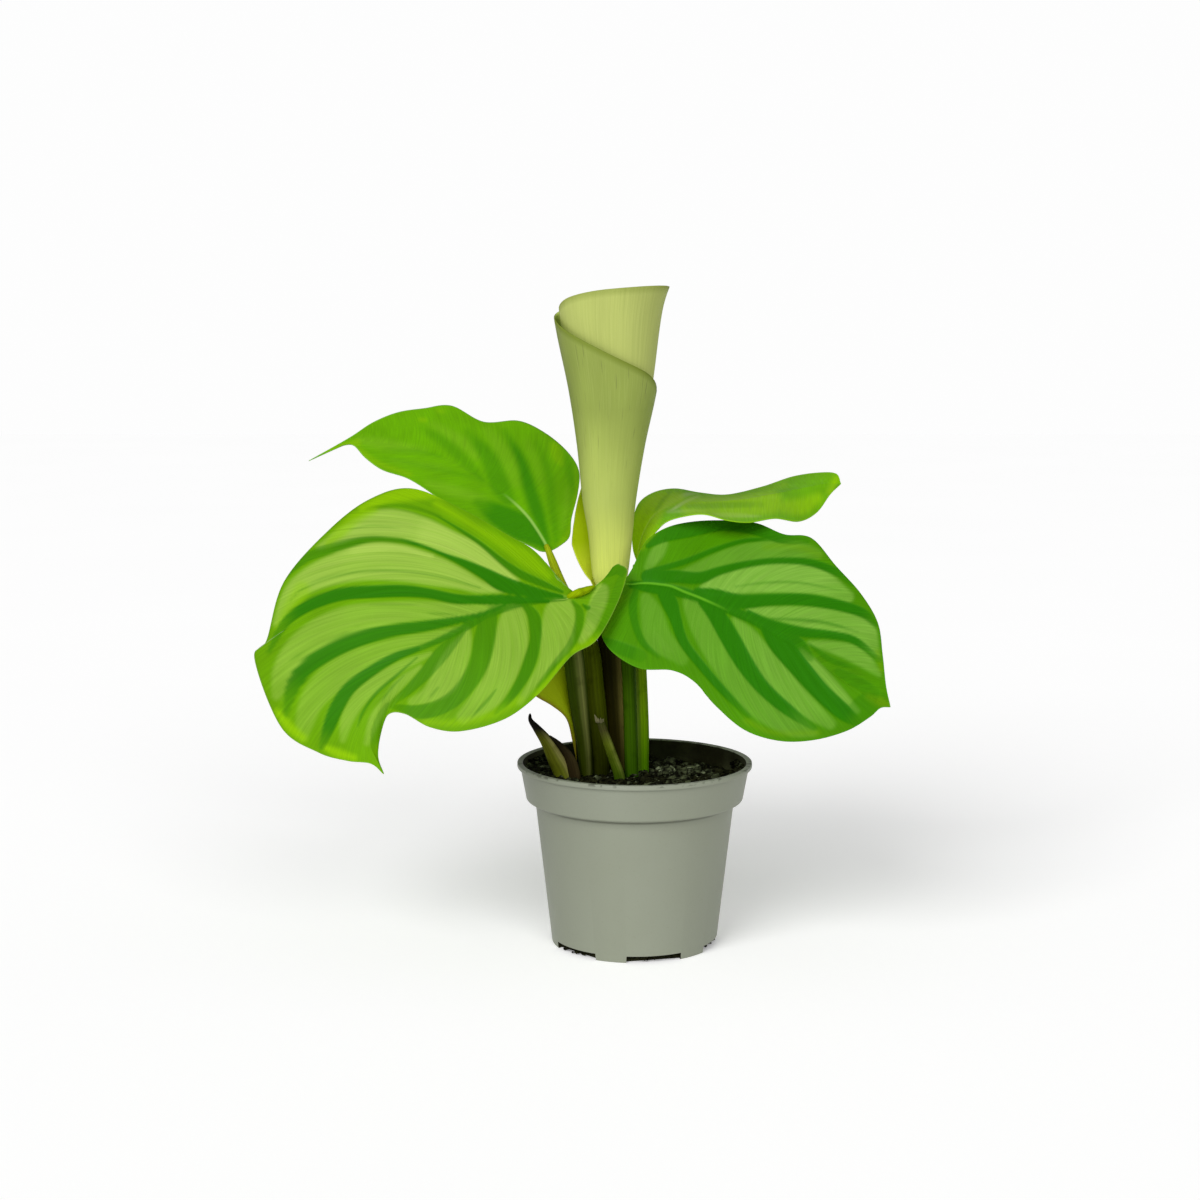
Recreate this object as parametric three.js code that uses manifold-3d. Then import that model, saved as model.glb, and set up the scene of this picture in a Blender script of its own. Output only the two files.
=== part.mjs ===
// Potted Calathea orbifolia: a young plant with four open leaves and one new leaf still rolled,
// in a 12 cm nursery pot. Millimetres, +Z up, origin at the centre of the pot's flat underside.
// +X is to the right and +Y away, as the plant is seen from the front.
import * as THREE from "three";
import { mergeVertices } from "three/addons/utils/BufferGeometryUtils.js";
import Module from "manifold-3d";

const wasm = await Module();
wasm.setup();

// Driving dimensions
const CLEARANCE = 0.35;
const BLADE_THICKNESS = 0.8;
const WELD_TOLERANCE = 1e-4;

const POT_HEIGHT = 93.7;
const POT_BASE_RADIUS = 42.4;
const POT_WALL_TOP_RADIUS = 50.8;
const POT_RIM_RADIUS = 60;
const POT_COLLAR_FOOT = 75;
const POT_COLLAR_FOOT_RADIUS = 55.4;
const POT_COLLAR_TOP_RADIUS = 58.4;
const POT_LIP_DEPTH = 2.4;
const POT_SHEET = 1.2;
const POT_FLOOR = 1.6;
const POT_BASE_ROUNDING = 1.2;
const POT_STEP_DEPTH = 2;
const POT_STEP_ROUNDING = 0.8;
const POT_LIP_ROUNDING = 0.5;
const POT_SEGMENTS = 60;
const DRAIN_SLOTS = 6;
const DRAIN_SLOT_WIDTH = 28;
const DRAIN_SLOT_HEIGHT = 2.3;
const DRAIN_SLOT_DEPTH = 5;
const DRAIN_SLOT_FIRST_ANGLE = -137;

const SOIL_LEVEL = 86.3;
const SOIL_RIM_RADIUS = 54.9;
const SOIL_SIDE_GAP = 0.45;
const SOIL_FALL = 0.03;
const SOIL_LUMP_HEIGHT = 0.9;
const SOIL_WAVES = { right: 0.31, rightBend: 0.23, away: 0.37, awayBend: 0.19, bending: 1.3 };
const SOIL_SEGMENTS = 36;
const SOIL_RINGS = 6;
const SOIL_RING_STEP = 8;
const CRUMB_COUNT = 44;
const CRUMB_SEED = 12;
const CRUMB_FIELD_RADIUS = 50;
const CRUMB_SMALLEST = 1.2;
const CRUMB_SPREAD = 1.6;
const CRUMB_FLATNESS = [1, 0.8, 0.7];
const CRUMB_TILT = 0.6;
const CRUMB_SINK = 0.1;
const STEM_FOOT = 62;
const STEM_EMERGES = 89;

// The outlines are given as an eye one metre in front sees them on the upright plane through the
// pot's axis: across to the right, up, and how far away from that plane the point really lies.
const EYE = new THREE.Vector3(-17.7, -1000, 303.8);

function fromEye(across, up, away) {
  const reach = 1 + away / -EYE.y;
  return new THREE.Vector3(EYE.x + (across - EYE.x) * reach, away, EYE.z + (up - EYE.z) * reach);
}

// Each blade is a row of stations from its joint to its tip. A station holds a point of the midrib,
// and the points where the side vein from there meets the back edge and the front edge. A third
// number, where there is one, lifts the point towards the eye. The bow says how the blade leans
// and arches away from the plane. The vein sweep says how far the side veins of each half bulge,
// as a share of their length, and the base side says which way round the blade is seen.
const frontLeftBlade = {
  baseSide: 1,
  veinSweep: { back: 0.3, front: 0.3 },
  bow: { away: -26, acrossSlope: 0.3, upSlope: 0.8, acrossCurve: 0.0028, upCurve: 0.0035 },
  stations: [
    [[-31.2, 180.8], [-39, 188.2], [-11.5, 193.3, 9]],
    [[-31.5, 179.6], [-43.5, 193.5], [-9.5, 194.6, 9.5]],
    [[-32, 178.4], [-52, 202.5], [-7.5, 194.5, 10]],
    [[-33, 177.4], [-64, 209.5], [-4, 190.5, 9]],
    [[-35.5, 176.7], [-87, 222.5], [-9, 174.5, 3]],
    [[-40, 176.4], [-112, 233], [-19.5, 156]],
    [[-46, 176], [-133, 228], [-32.5, 147.5]],
    [[-51.5, 176], [-154, 212.5], [-48.5, 128.8]],
    [[-60, 175.5], [-177.5, 186], [-66, 115.5]],
    [[-71, 173], [-187, 156], [-88.5, 109]],
    [[-83.5, 164.5], [-194, 146], [-104.5, 111]],
    [[-96.5, 155.5], [-180.5, 111], [-117.5, 118]],
    [[-112, 142], [-162, 98], [-126, 117.5, -3]],
    [[-126, 129.5], [-147, 93.5], [-130, 107, -4]],
    [[-135.5, 106], [-135, 92], [-131.3, 95.5, -2]],
    [[-128.5, 86.5], [-128.5, 86.5], [-128.5, 86.5]],
  ],
};

const frontRightBlade = {
  baseSide: -1,
  veinSweep: { back: 0.3, front: 0.3 },
  bow: { away: -9, acrossSlope: -0.15, upSlope: 0.8, acrossCurve: 0.0015, upCurve: 0.002 },
  stations: [
    [[-6.5, 184.5], [-6.5, 184.5], [-6.5, 184.5]],
    [[-3.5, 184.5], [-1.5, 192.5, 3], [-12.5, 179.5]],
    [[-0.5, 184.5], [1.5, 199, 5], [-16.5, 170.5]],
    [[3, 185], [6.3, 207.3, 6], [-17, 159]],
    [[7.5, 185], [16.5, 213.6, 6], [-11, 149.5]],
    [[12.5, 184.5], [30, 216.5, 4], [2.5, 141.5]],
    [[18.5, 183.5], [46, 217, 1], [19, 140.5]],
    [[25.5, 180.5], [61.5, 215.5], [30.5, 134.5]],
    [[32, 178], [75, 210], [42, 121.5]],
    [[40, 174.5], [89, 208], [56.5, 109.5]],
    [[49.5, 170], [101.5, 194], [74, 104]],
    [[61.5, 164.5], [114.2, 180], [91.5, 104.4]],
    [[75, 156.5], [123.2, 165], [108.5, 109.2]],
    [[90.5, 146.5], [126, 148.5], [120, 116.2]],
    [[107, 134], [128, 132.5], [125.5, 121]],
    [[130.5, 121.5], [130.5, 121.5], [130.5, 121.5]],
  ],
};

const backLeftBlade = {
  baseSide: 1,
  veinSweep: { back: 0.25, front: 0.08 },
  bow: { away: 12, acrossSlope: 0.2, upSlope: 1.35, acrossCurve: 0.0006, upCurve: 0.001 },
  stations: [
    [[-43.5, 201], [-43.5, 201], [-43.5, 201]],
    [[-44.5, 203], [-37.5, 204.5], [-48, 201.5]],
    [[-45.5, 205.5], [-33, 209], [-52, 203.5]],
    [[-47.5, 209], [-32, 218], [-58.5, 206.5]],
    [[-50, 213], [-28.8, 231], [-67, 208.5]],
    [[-53.5, 218], [-28.3, 242], [-76.5, 213]],
    [[-58, 223], [-34, 251.5], [-85.5, 218.5]],
    [[-63.5, 228], [-45, 260.8], [-95, 225]],
    [[-70.5, 233.5], [-58.5, 267], [-105, 232.5]],
    [[-79.5, 240], [-76, 266.5], [-115, 238.5]],
    [[-90.5, 246.5], [-92, 274.5], [-127, 242.5]],
    [[-104, 251], [-106, 273.2], [-135.5, 248.5]],
    [[-119, 254.5], [-119, 271.2], [-141, 254.5]],
    [[-133, 256.5], [-131.5, 266.2], [-145.5, 255]],
    [[-146, 256], [-143.5, 258.5], [-150.5, 253]],
    [[-164, 247], [-164, 247], [-164, 247]],
  ],
};

// Seen nearly edge on, so the depth of every point is given outright, as a lift of the other sign.
const backRightBlade = {
  baseSide: -1,
  veinSweep: { back: 0.12, front: 0.12 },
  bow: { away: 0, acrossSlope: 0, upSlope: 0, acrossCurve: 0, upCurve: 0 },
  stations: [
    [[1, 196, -16], [1, 196, -16], [1, 196, -16]],
    [[1.5, 200, -17], [-1, 202, -19], [3.5, 199, -15]],
    [[2.5, 205.5, -20], [-1.5, 210, -26], [5, 204.5, -14]],
    [[5.5, 213.5, -25], [-0.5, 220, -37], [9, 209.5, -11]],
    [[10.5, 220.5, -31], [3, 227, -52], [15.5, 216, -6]],
    [[18.5, 224.5, -37], [10.5, 231.5, -68], [24.5, 219, -2]],
    [[29.5, 226, -43], [20.5, 233, -84], [35, 220, 1]],
    [[42.5, 226.5, -50], [32.5, 231, -97], [46.5, 217, 2]],
    [[57, 228, -58], [46.5, 230, -106], [57.5, 216, -1]],
    [[71, 230.5, -65], [64, 234, -109], [70.5, 218, -12]],
    [[83.5, 233, -71], [79, 239, -105], [82.5, 216.5, -27]],
    [[93.5, 235, -75], [92, 241, -96], [91.5, 221, -45]],
    [[99.5, 235.5, -77], [101, 240.5, -86], [98, 230, -63]],
    [[103.5, 235.5, -77], [103.5, 235.5, -77], [103.5, 235.5, -77]],
  ],
};

// A pale, open sheath that stands off the left side of the front left petiole.
const outerSheathBlade = {
  baseSide: 1,
  veinSweep: { back: 0, front: 0 },
  bow: { away: -7, acrossSlope: 0.1, upSlope: 0, acrossCurve: 0, upCurve: 0 },
  stations: [
    [[-29.6, 93], [-29.6, 93], [-29.6, 93]],
    [[-30.8, 103], [-31.8, 104], [-30.1, 103]],
    [[-32.2, 114], [-35, 115.5], [-30, 114, -2.5]],
    [[-36, 124], [-42, 122], [-30.5, 126, -4]],
    [[-41, 134], [-51, 127.5], [-32, 140, -4]],
    [[-47, 144], [-59, 133], [-35, 152, -4]],
    [[-60, 152], [-60, 152], [-60, 152]],
  ],
};

// The rolled leaf: the radius and centre of its outer coil at each height, and the height of its
// free top edge as it winds inwards. The turn is counted in degrees from the left side, by way
// of the back, so the front is at 270. The pitch is what the radius loses in one turn.
const ROLL_AWAY = 9;
const ROLL_FOOT = 182;
const ROLL_TOP = 334;
const ROLL_PITCH_AT_FOOT = 2;
const ROLL_PITCH_AT_TOP = 3;
const ROLL_FRONT_TURN = 270;
const ROLL_TURN = 780;
const ROLL_COLUMNS = 52;
const ROLL_ROWS = 9;
const ROLL_FLAP_TURN = 60;
const ROLL_FLAP_FLARE = 7.3;
const ROLL_FLAP_HEIGHT = 214;
const ROLL_FLAP_REACH = 22;
const ROLL_SECTIONS = [
  { up: 182, radius: 7.2, across: -13.4 },
  { up: 190, radius: 8.8, across: -13.1 },
  { up: 211, radius: 11.1, across: -13 },
  { up: 227, radius: 13.2, across: -13.6 },
  { up: 255, radius: 16.9, across: -12.8 },
  { up: 282.5, radius: 21.9, across: -12 },
  { up: 316, radius: 27.6, across: -13.2 },
  { up: 334, radius: 30.1, across: -12.4 },
];
const ROLL_TOP_EDGE = [
  { turn: 0, up: 205 },
  { turn: 30, up: 232 },
  { turn: 90, up: 255 },
  { turn: 165, up: 277 },
  { turn: 207, up: 288 },
  { turn: 260, up: 298 },
  { turn: 308, up: 308.5 },
  { turn: 360, up: 318.5 },
  { turn: 450, up: 328 },
  { turn: 545, up: 333.6 },
  { turn: 630, up: 331.7 },
  { turn: 680, up: 328 },
  { turn: 720, up: 322.5 },
  { turn: 780, up: 315 },
];

// Stems: points of the axis as [across, up, away], and the radius at even steps along it.
const petioles = {
  petiole_front_left: {
    foot: [-25, -7],
    path: [[-25, STEM_EMERGES, -7], [-25.5, 103, -7.5], [-27.5, 122, -9], [-30.2, 143, -12], [-32, 160, -17]],
    radii: [3.5, 3.5, 3.7, 4.3, 4.5, 3.4, 2.2],
    bladeJoint: frontLeftBlade,
    setback: 1.7,
  },
  petiole_back_left: {
    foot: [-17.6, 0.5],
    path: [[-17.6, STEM_EMERGES, 0.5], [-18.9, 110, 0.8], [-20.7, 131, 1.5], [-22.3, 151, 3.5],
      [-27, 164, 6], [-32.5, 173, 8], [-37.5, 181, 9.5], [-41, 190, 11]],
    radii: [4.7, 4.7, 4.7, 4.7, 4.5, 4.1, 3.2, 2.4, 2.1],
    bladeJoint: backLeftBlade,
    setback: 0.8,
  },
  petiole_front_right: {
    foot: [0.5, -6.5],
    path: [[0.5, STEM_EMERGES, -6.5], [-1.4, 108, -5.5], [-3.9, 131, -3], [-4.9, 156, 0], [-5.3, 173, -1]],
    radii: [4.4, 4.4, 4.4, 4.2, 3.8, 3, 2.3],
    bladeJoint: frontRightBlade,
    setback: 1.6,
  },
  petiole_back_right: {
    foot: [3.6, 4],
    path: [[3.6, STEM_EMERGES, 4], [3.4, 108, 4.5], [2.6, 131, 6], [1.6, 156, 9], [0.6, 180, 13]],
    radii: [4, 4, 4, 3.8, 3.4, 2.7, 2.1],
    bladeJoint: backRightBlade,
    setback: 0.6,
  },
};
const rolledPetiole = {
  foot: [-8.8, 3.5],
  path: [[-8.8, STEM_EMERGES, 3.5], [-10.3, 108, 4.7], [-12.6, 131, 6.2], [-13.8, 155, 8],
    [-13.6, 176, 9], [-13.4, 192, 9]],
  radii: [4.3, 4.3, 4.3, 4.3, 4.3, 4.2, 4.1, 3.9, 3.8, 1.5],
};
const driedShoot = {
  path: [[-31, 66, -12], [-35.5, 85.5, -12], [-40.3, 95.5, -12], [-45, 104, -12.5], [-50, 110.5, -13],
    [-53.2, 114.5, -13], [-53.2, 118.5, -13]],
  radii: [3.8, 4.3, 4.6, 3.9, 2.5, 1.3, 0.5],
};
const driedShootScale = {
  path: [[-30, 72, -15], [-32, 88, -14], [-34.5, 96, -13], [-39.5, 102.5, -13.5], [-44, 106.5, -14]],
  radii: [3.2, 3.4, 2.9, 1.7, 0.4],
};
const cutPetiole = {
  path: [[-6.5, 66, -15.5], [-7.5, 84, -15.5], [-11.5, 96.5, -16], [-15.8, 109, -16.5],
    [-17.6, 114.5, -16.5]],
  radii: [3, 3, 2.8, 2.4, 1.6],
};

const STEM_SIDES = 12;
const STEM_RINGS = 13;

// Materials, one made afresh for each piece
function material(color, roughness) {
  return new THREE.MeshStandardMaterial({ color, roughness, metalness: 0 });
}
const potPlastic = () => material(0x98a08c, 0.55);
const pottingSoil = () => material(0x1d1812, 0.95);
const frontLeafGreen = () => material(0x5f9a14, 0.42);
const backLeafGreen = () => material(0x4f9410, 0.42);
const rolledLeafGreen = () => material(0xa9b568, 0.5);
const petioleGreen = () => material(0x4a5e16, 0.5);
const sheathOlive = () => material(0x8c8a22, 0.55);
const driedHusk = () => material(0x4a3820, 0.8);

// Helpers
function weld(geometry) {
  geometry.deleteAttribute("normal");
  geometry.deleteAttribute("uv");
  return mergeVertices(geometry, WELD_TOLERANCE);
}

function signedVolume(positions, triangles) {
  const a = new THREE.Vector3();
  const b = new THREE.Vector3();
  const c = new THREE.Vector3();
  let sum = 0;
  for (let i = 0; i < triangles.length; i += 3) {
    a.fromArray(positions, triangles[i] * 3);
    b.fromArray(positions, triangles[i + 1] * 3);
    c.fromArray(positions, triangles[i + 2] * 3);
    sum += a.dot(b.cross(c)) / 6;
  }
  return sum;
}

// The geometry with its triangles turned so that they face outwards.
function facingOut(geometry) {
  const index = Array.from(geometry.index.array);
  if (signedVolume(geometry.attributes.position.array, index) < 0) {
    index.reverse();
  }
  geometry.setIndex(index);
  return geometry;
}

function toManifold(geometry) {
  return new wasm.Manifold(new wasm.Mesh({
    numProp: 3,
    vertProperties: new Float32Array(geometry.attributes.position.array),
    triVerts: new Uint32Array(geometry.index.array),
  }));
}

function fromManifold(solid) {
  const mesh = solid.getMesh();
  const geometry = new THREE.BufferGeometry();
  geometry.setAttribute("position", new THREE.BufferAttribute(new Float32Array(mesh.vertProperties), 3));
  geometry.setIndex(Array.from(mesh.triVerts));
  return geometry;
}

function revolved(profile, segments) {
  const points = profile.map(([radius, height]) => new THREE.Vector2(radius, height));
  const geometry = weld(new THREE.LatheGeometry(points, segments));
  geometry.rotateX(Math.PI / 2);
  return facingOut(geometry);
}

function between(values, t) {
  const place = Math.min(Math.max(t, 0), 1) * (values.length - 1);
  const low = Math.min(Math.floor(place), values.length - 2);
  return THREE.MathUtils.lerp(values[low], values[low + 1], place - low);
}

// A list of {key, value} marks read as a smooth curve.
function smoothMarks(marks, key, value, at) {
  let low = 0;
  while (low < marks.length - 2 && marks[low + 1][key] < at) {
    low += 1;
  }
  const high = low + 1;
  const span = marks[high][key] - marks[low][key];
  const t = THREE.MathUtils.clamp((at - marks[low][key]) / span, 0, 1);
  const slope = (i) => {
    const before = marks[Math.max(i - 1, 0)];
    const after = marks[Math.min(i + 1, marks.length - 1)];
    return (after[value] - before[value]) / (after[key] - before[key]);
  };
  const t2 = t * t;
  const t3 = t2 * t;
  return (2 * t3 - 3 * t2 + 1) * marks[low][value] + (t3 - 2 * t2 + t) * span * slope(low)
    + (3 * t2 - 2 * t3) * marks[high][value] + (t3 - t2) * span * slope(high);
}

// A closed solid from a thin sheet: both faces keep the sheet's triangles, and its edges are walled.
function thickened(points, triangles, thickness) {
  const sheet = new THREE.BufferGeometry().setFromPoints(points);
  sheet.setIndex(triangles);
  sheet.computeVertexNormals();
  const normals = sheet.attributes.normal;
  const count = points.length;
  const positions = [];
  for (const side of [0.5, -0.5]) {
    points.forEach((point, i) => {
      const normal = new THREE.Vector3().fromBufferAttribute(normals, i);
      positions.push(...point.clone().addScaledVector(normal, side * thickness).toArray());
    });
  }
  const faces = [...triangles];
  const edges = new Set();
  for (let i = 0; i < triangles.length; i += 3) {
    const [a, b, c] = triangles.slice(i, i + 3);
    faces.push(a + count, c + count, b + count);
    edges.add(`${a},${b}`);
    edges.add(`${b},${c}`);
    edges.add(`${c},${a}`);
  }
  for (const edge of edges) {
    const [a, b] = edge.split(",").map(Number);
    if (!edges.has(`${b},${a}`)) {
      faces.push(b, a, a + count, b, a + count, b + count);
    }
  }
  const geometry = new THREE.BufferGeometry();
  geometry.setAttribute("position", new THREE.Float32BufferAttribute(positions, 3));
  geometry.setIndex(faces);
  return facingOut(geometry);
}

// Triangles of a grid of rows whose points may be shared, where an end row is a single point.
function gridTriangles(rowCount, columnCount, indexOf) {
  const triangles = [];
  const add = (a, b, c) => {
    if (a !== b && b !== c && c !== a) {
      triangles.push(a, b, c);
    }
  };
  for (let i = 0; i < rowCount - 1; i += 1) {
    for (let j = 0; j < columnCount - 1; j += 1) {
      const a = indexOf(i, j);
      const b = indexOf(i + 1, j);
      const c = indexOf(i + 1, j + 1);
      const d = indexOf(i, j + 1);
      add(a, b, c);
      add(a, c, d);
    }
  }
  return triangles;
}

// Blades
const ROWS_PER_STATION = 2;
const COLUMNS_PER_SIDE = 5;
const SWEEP_STARTS = 0.2;
const SWEEP_IS_FULL = 0.5;
const FRONT_SWEEP_FADES = 0.6;
const FRONT_SWEEP_IS_GONE = 0.85;

// A smooth rail through one column of a blade's stations, as [across, up, lift].
function rail(blade, column) {
  const points = blade.stations.map((station) => {
    const [across, up, lift = 0] = station[column];
    return new THREE.Vector3(across, up, lift);
  });
  return new THREE.CatmullRomCurve3(points, false, "catmullrom", 0.5);
}

// A point on a side vein: from the midrib, bulging towards the leaf's base, to the edge.
function veinPoint(blade, middle, edge, side, along, out) {
  const chord = edge.clone().sub(middle);
  const fading = THREE.MathUtils.smoothstep(along, FRONT_SWEEP_FADES, FRONT_SWEEP_IS_GONE);
  const strength = side > 0 ? blade.veinSweep.back : blade.veinSweep.front * (1 - fading);
  const ramp = THREE.MathUtils.smoothstep(along, SWEEP_STARTS, SWEEP_IS_FULL);
  const sweep = strength * ramp * Math.sqrt(Math.max(Math.sin(Math.PI * along), 0)) * side * blade.baseSide;
  const bend = new THREE.Vector3(chord.y * sweep, -chord.x * sweep, 0);
  const control = middle.clone().add(edge).multiplyScalar(0.5).add(bend);
  const inner = 1 - out;
  return middle.clone().multiplyScalar(inner * inner)
    .addScaledVector(control, 2 * inner * out)
    .addScaledVector(edge, out * out);
}

function bowedPoint(blade, seen) {
  const [start] = blade.stations[0];
  const across = seen.x - start[0];
  const up = seen.y - start[1];
  const { bow } = blade;
  const away = bow.away + bow.acrossSlope * across + bow.upSlope * up
    + bow.acrossCurve * across * across + bow.upCurve * up * up - seen.z;
  return fromEye(seen.x, seen.y, away);
}

function bladeSolid(blade) {
  const [midrib, backEdge, frontEdge] = [0, 1, 2].map((column) => rail(blade, column));
  const lastRow = (blade.stations.length - 1) * ROWS_PER_STATION;
  const columnCount = COLUMNS_PER_SIDE * 2 + 1;
  const points = [];
  const rows = [];
  for (let i = 0; i <= lastRow; i += 1) {
    const along = i / lastRow;
    const middle = midrib.getPoint(along);
    const edges = [backEdge.getPoint(along), frontEdge.getPoint(along)];
    if (edges.every((edge) => edge.distanceTo(middle) < WELD_TOLERANCE)) {
      points.push(bowedPoint(blade, middle));
      rows.push(new Array(columnCount).fill(points.length - 1));
      continue;
    }
    const row = [];
    for (let j = 0; j < columnCount; j += 1) {
      const out = Math.abs(j - COLUMNS_PER_SIDE) / COLUMNS_PER_SIDE;
      const side = j < COLUMNS_PER_SIDE ? 1 : -1;
      const edge = side > 0 ? edges[0] : edges[1];
      points.push(bowedPoint(blade, veinPoint(blade, middle, edge, side, along, out)));
      row.push(points.length - 1);
    }
    rows.push(row);
  }
  const triangles = gridTriangles(lastRow + 1, columnCount, (i, j) => rows[i][j]);
  return thickened(points, triangles, BLADE_THICKNESS);
}

// The rolled leaf
function rollPoint(turn, rise) {
  const top = smoothMarks(ROLL_TOP_EDGE, "turn", "up", turn);
  const up = THREE.MathUtils.lerp(ROLL_FOOT, top, rise);
  const flap = Math.max(0, 1 - turn / ROLL_FLAP_TURN) ** 2;
  const bulge = Math.max(0, 1 - ((up - ROLL_FLAP_HEIGHT) / ROLL_FLAP_REACH) ** 2);
  const climb = (up - ROLL_FOOT) / (ROLL_TOP - ROLL_FOOT);
  const pitch = THREE.MathUtils.lerp(ROLL_PITCH_AT_FOOT, ROLL_PITCH_AT_TOP, climb);
  const radius = smoothMarks(ROLL_SECTIONS, "up", "radius", up)
    - pitch * (turn - ROLL_FRONT_TURN) / 360 + ROLL_FLAP_FLARE * flap * bulge;
  const angle = THREE.MathUtils.degToRad(180 - turn);
  const across = smoothMarks(ROLL_SECTIONS, "up", "across", up);
  return fromEye(across + radius * Math.cos(angle), up, ROLL_AWAY)
    .add(new THREE.Vector3(0, radius * Math.sin(angle), 0));
}

function rolledLeaf() {
  const points = [];
  for (let i = 0; i <= ROLL_COLUMNS; i += 1) {
    for (let j = 0; j <= ROLL_ROWS; j += 1) {
      points.push(rollPoint(ROLL_TURN * i / ROLL_COLUMNS, j / ROLL_ROWS));
    }
  }
  const indexOf = (i, j) => i * (ROLL_ROWS + 1) + j;
  return thickened(points, gridTriangles(ROLL_COLUMNS + 1, ROLL_ROWS + 1, indexOf), BLADE_THICKNESS);
}

// Stems
const SIDEWAYS = new THREE.Vector3(1, 0, 0);

// A round stem: a straight lathed spindle of unit length, bent along its axis.
function bentStem(axisPoints, radii, extra = 0) {
  const axis = new THREE.CatmullRomCurve3(axisPoints, false, "centripetal");
  const profile = [[0, 0]];
  for (let i = 0; i <= STEM_RINGS; i += 1) {
    const t = i / STEM_RINGS;
    profile.push([between(radii, t) + extra, t]);
  }
  profile.push([0, 1]);
  const geometry = revolved(profile, STEM_SIDES);
  const position = geometry.attributes.position;
  for (let i = 0; i < position.count; i += 1) {
    const t = THREE.MathUtils.clamp(position.getZ(i), 0, 1);
    const tangent = axis.getTangentAt(t);
    const sideways = SIDEWAYS.clone().addScaledVector(tangent, -SIDEWAYS.dot(tangent)).normalize();
    const forward = tangent.clone().cross(sideways);
    const point = axis.getPointAt(t)
      .addScaledVector(sideways, position.getX(i))
      .addScaledVector(forward, position.getY(i));
    position.setXYZ(i, ...point.toArray());
  }
  return facingOut(geometry);
}

function stemAxis(stem, extra) {
  const points = stem.path.map((point) => fromEye(...point));
  if (stem.foot) {
    const [x, y] = stem.foot;
    const buried = [STEM_FOOT, (STEM_FOOT + STEM_EMERGES) / 2];
    points.unshift(...buried.map((z) => new THREE.Vector3(x, y, z)));
  }
  if (stem.bladeJoint) {
    points.push(petioleEnd(stem, points[points.length - 1]));
  }
  points[0].z -= extra;
  return points;
}

// Where a petiole stops, just short of its blade.
function petioleEnd(stem, from) {
  const [across, up, lift = 0] = stem.bladeJoint.stations[0][0];
  const joint = bowedPoint(stem.bladeJoint, new THREE.Vector3(across, up, lift));
  const back = from.clone().sub(joint).normalize();
  return joint.addScaledVector(back, stem.setback);
}

function stemSolid(stem, extra = 0) {
  return bentStem(stemAxis(stem, extra), stem.radii, extra);
}

function driedShootSolid(extra = 0) {
  const shoot = toManifold(stemSolid(driedShoot, extra));
  const scale = toManifold(stemSolid(driedShootScale, extra));
  return shoot.add(scale);
}

// Pot
function potSolid() {
  const lipBottom = POT_HEIGHT - POT_LIP_DEPTH;
  const innerCollarTop = POT_COLLAR_TOP_RADIUS - POT_SHEET;
  const profile = [
    [0, 0],
    [POT_BASE_RADIUS - POT_BASE_ROUNDING, 0],
    [POT_BASE_RADIUS, POT_BASE_ROUNDING],
    [POT_WALL_TOP_RADIUS, POT_COLLAR_FOOT - POT_STEP_DEPTH],
    [POT_COLLAR_FOOT_RADIUS - POT_STEP_ROUNDING, POT_COLLAR_FOOT - POT_STEP_ROUNDING],
    [POT_COLLAR_FOOT_RADIUS, POT_COLLAR_FOOT + POT_STEP_ROUNDING],
    [POT_COLLAR_TOP_RADIUS, lipBottom],
    [POT_RIM_RADIUS, lipBottom + POT_LIP_ROUNDING],
    [POT_RIM_RADIUS, POT_HEIGHT - POT_LIP_ROUNDING],
    [POT_RIM_RADIUS - POT_LIP_ROUNDING, POT_HEIGHT],
    [innerCollarTop, POT_HEIGHT],
    [innerCollarTop - POT_LIP_ROUNDING, lipBottom],
    [POT_COLLAR_FOOT_RADIUS - POT_SHEET, POT_COLLAR_FOOT + POT_STEP_ROUNDING],
    [POT_WALL_TOP_RADIUS - POT_SHEET, POT_COLLAR_FOOT - POT_STEP_ROUNDING],
    [POT_BASE_RADIUS - POT_SHEET, POT_FLOOR],
    [0, POT_FLOOR],
  ];
  let pot = toManifold(revolved(profile, POT_SEGMENTS));
  for (let i = 0; i < DRAIN_SLOTS; i += 1) {
    const angle = THREE.MathUtils.degToRad(DRAIN_SLOT_FIRST_ANGLE + i * 360 / DRAIN_SLOTS);
    const box = weld(new THREE.BoxGeometry(2 * DRAIN_SLOT_DEPTH, DRAIN_SLOT_WIDTH, 2 * DRAIN_SLOT_HEIGHT));
    box.translate(POT_BASE_RADIUS, 0, 0);
    box.rotateZ(angle);
    pot = pot.subtract(toManifold(facingOut(box)));
  }
  return fromManifold(pot);
}

// Soil
function seededRandom(seed) {
  let state = seed;
  return () => {
    state = (state * 1664525 + 1013904223) % 4294967296;
    return state / 4294967296;
  };
}

function soilTop(x, y) {
  const { right, rightBend, away, awayBend, bending } = SOIL_WAVES;
  const lumps = Math.sin(x * right + bending * Math.sin(y * rightBend))
    * Math.cos(y * away + Math.sin(x * awayBend));
  return SOIL_LEVEL - SOIL_FALL * (x + y) + SOIL_LUMP_HEIGHT * lumps;
}

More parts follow.
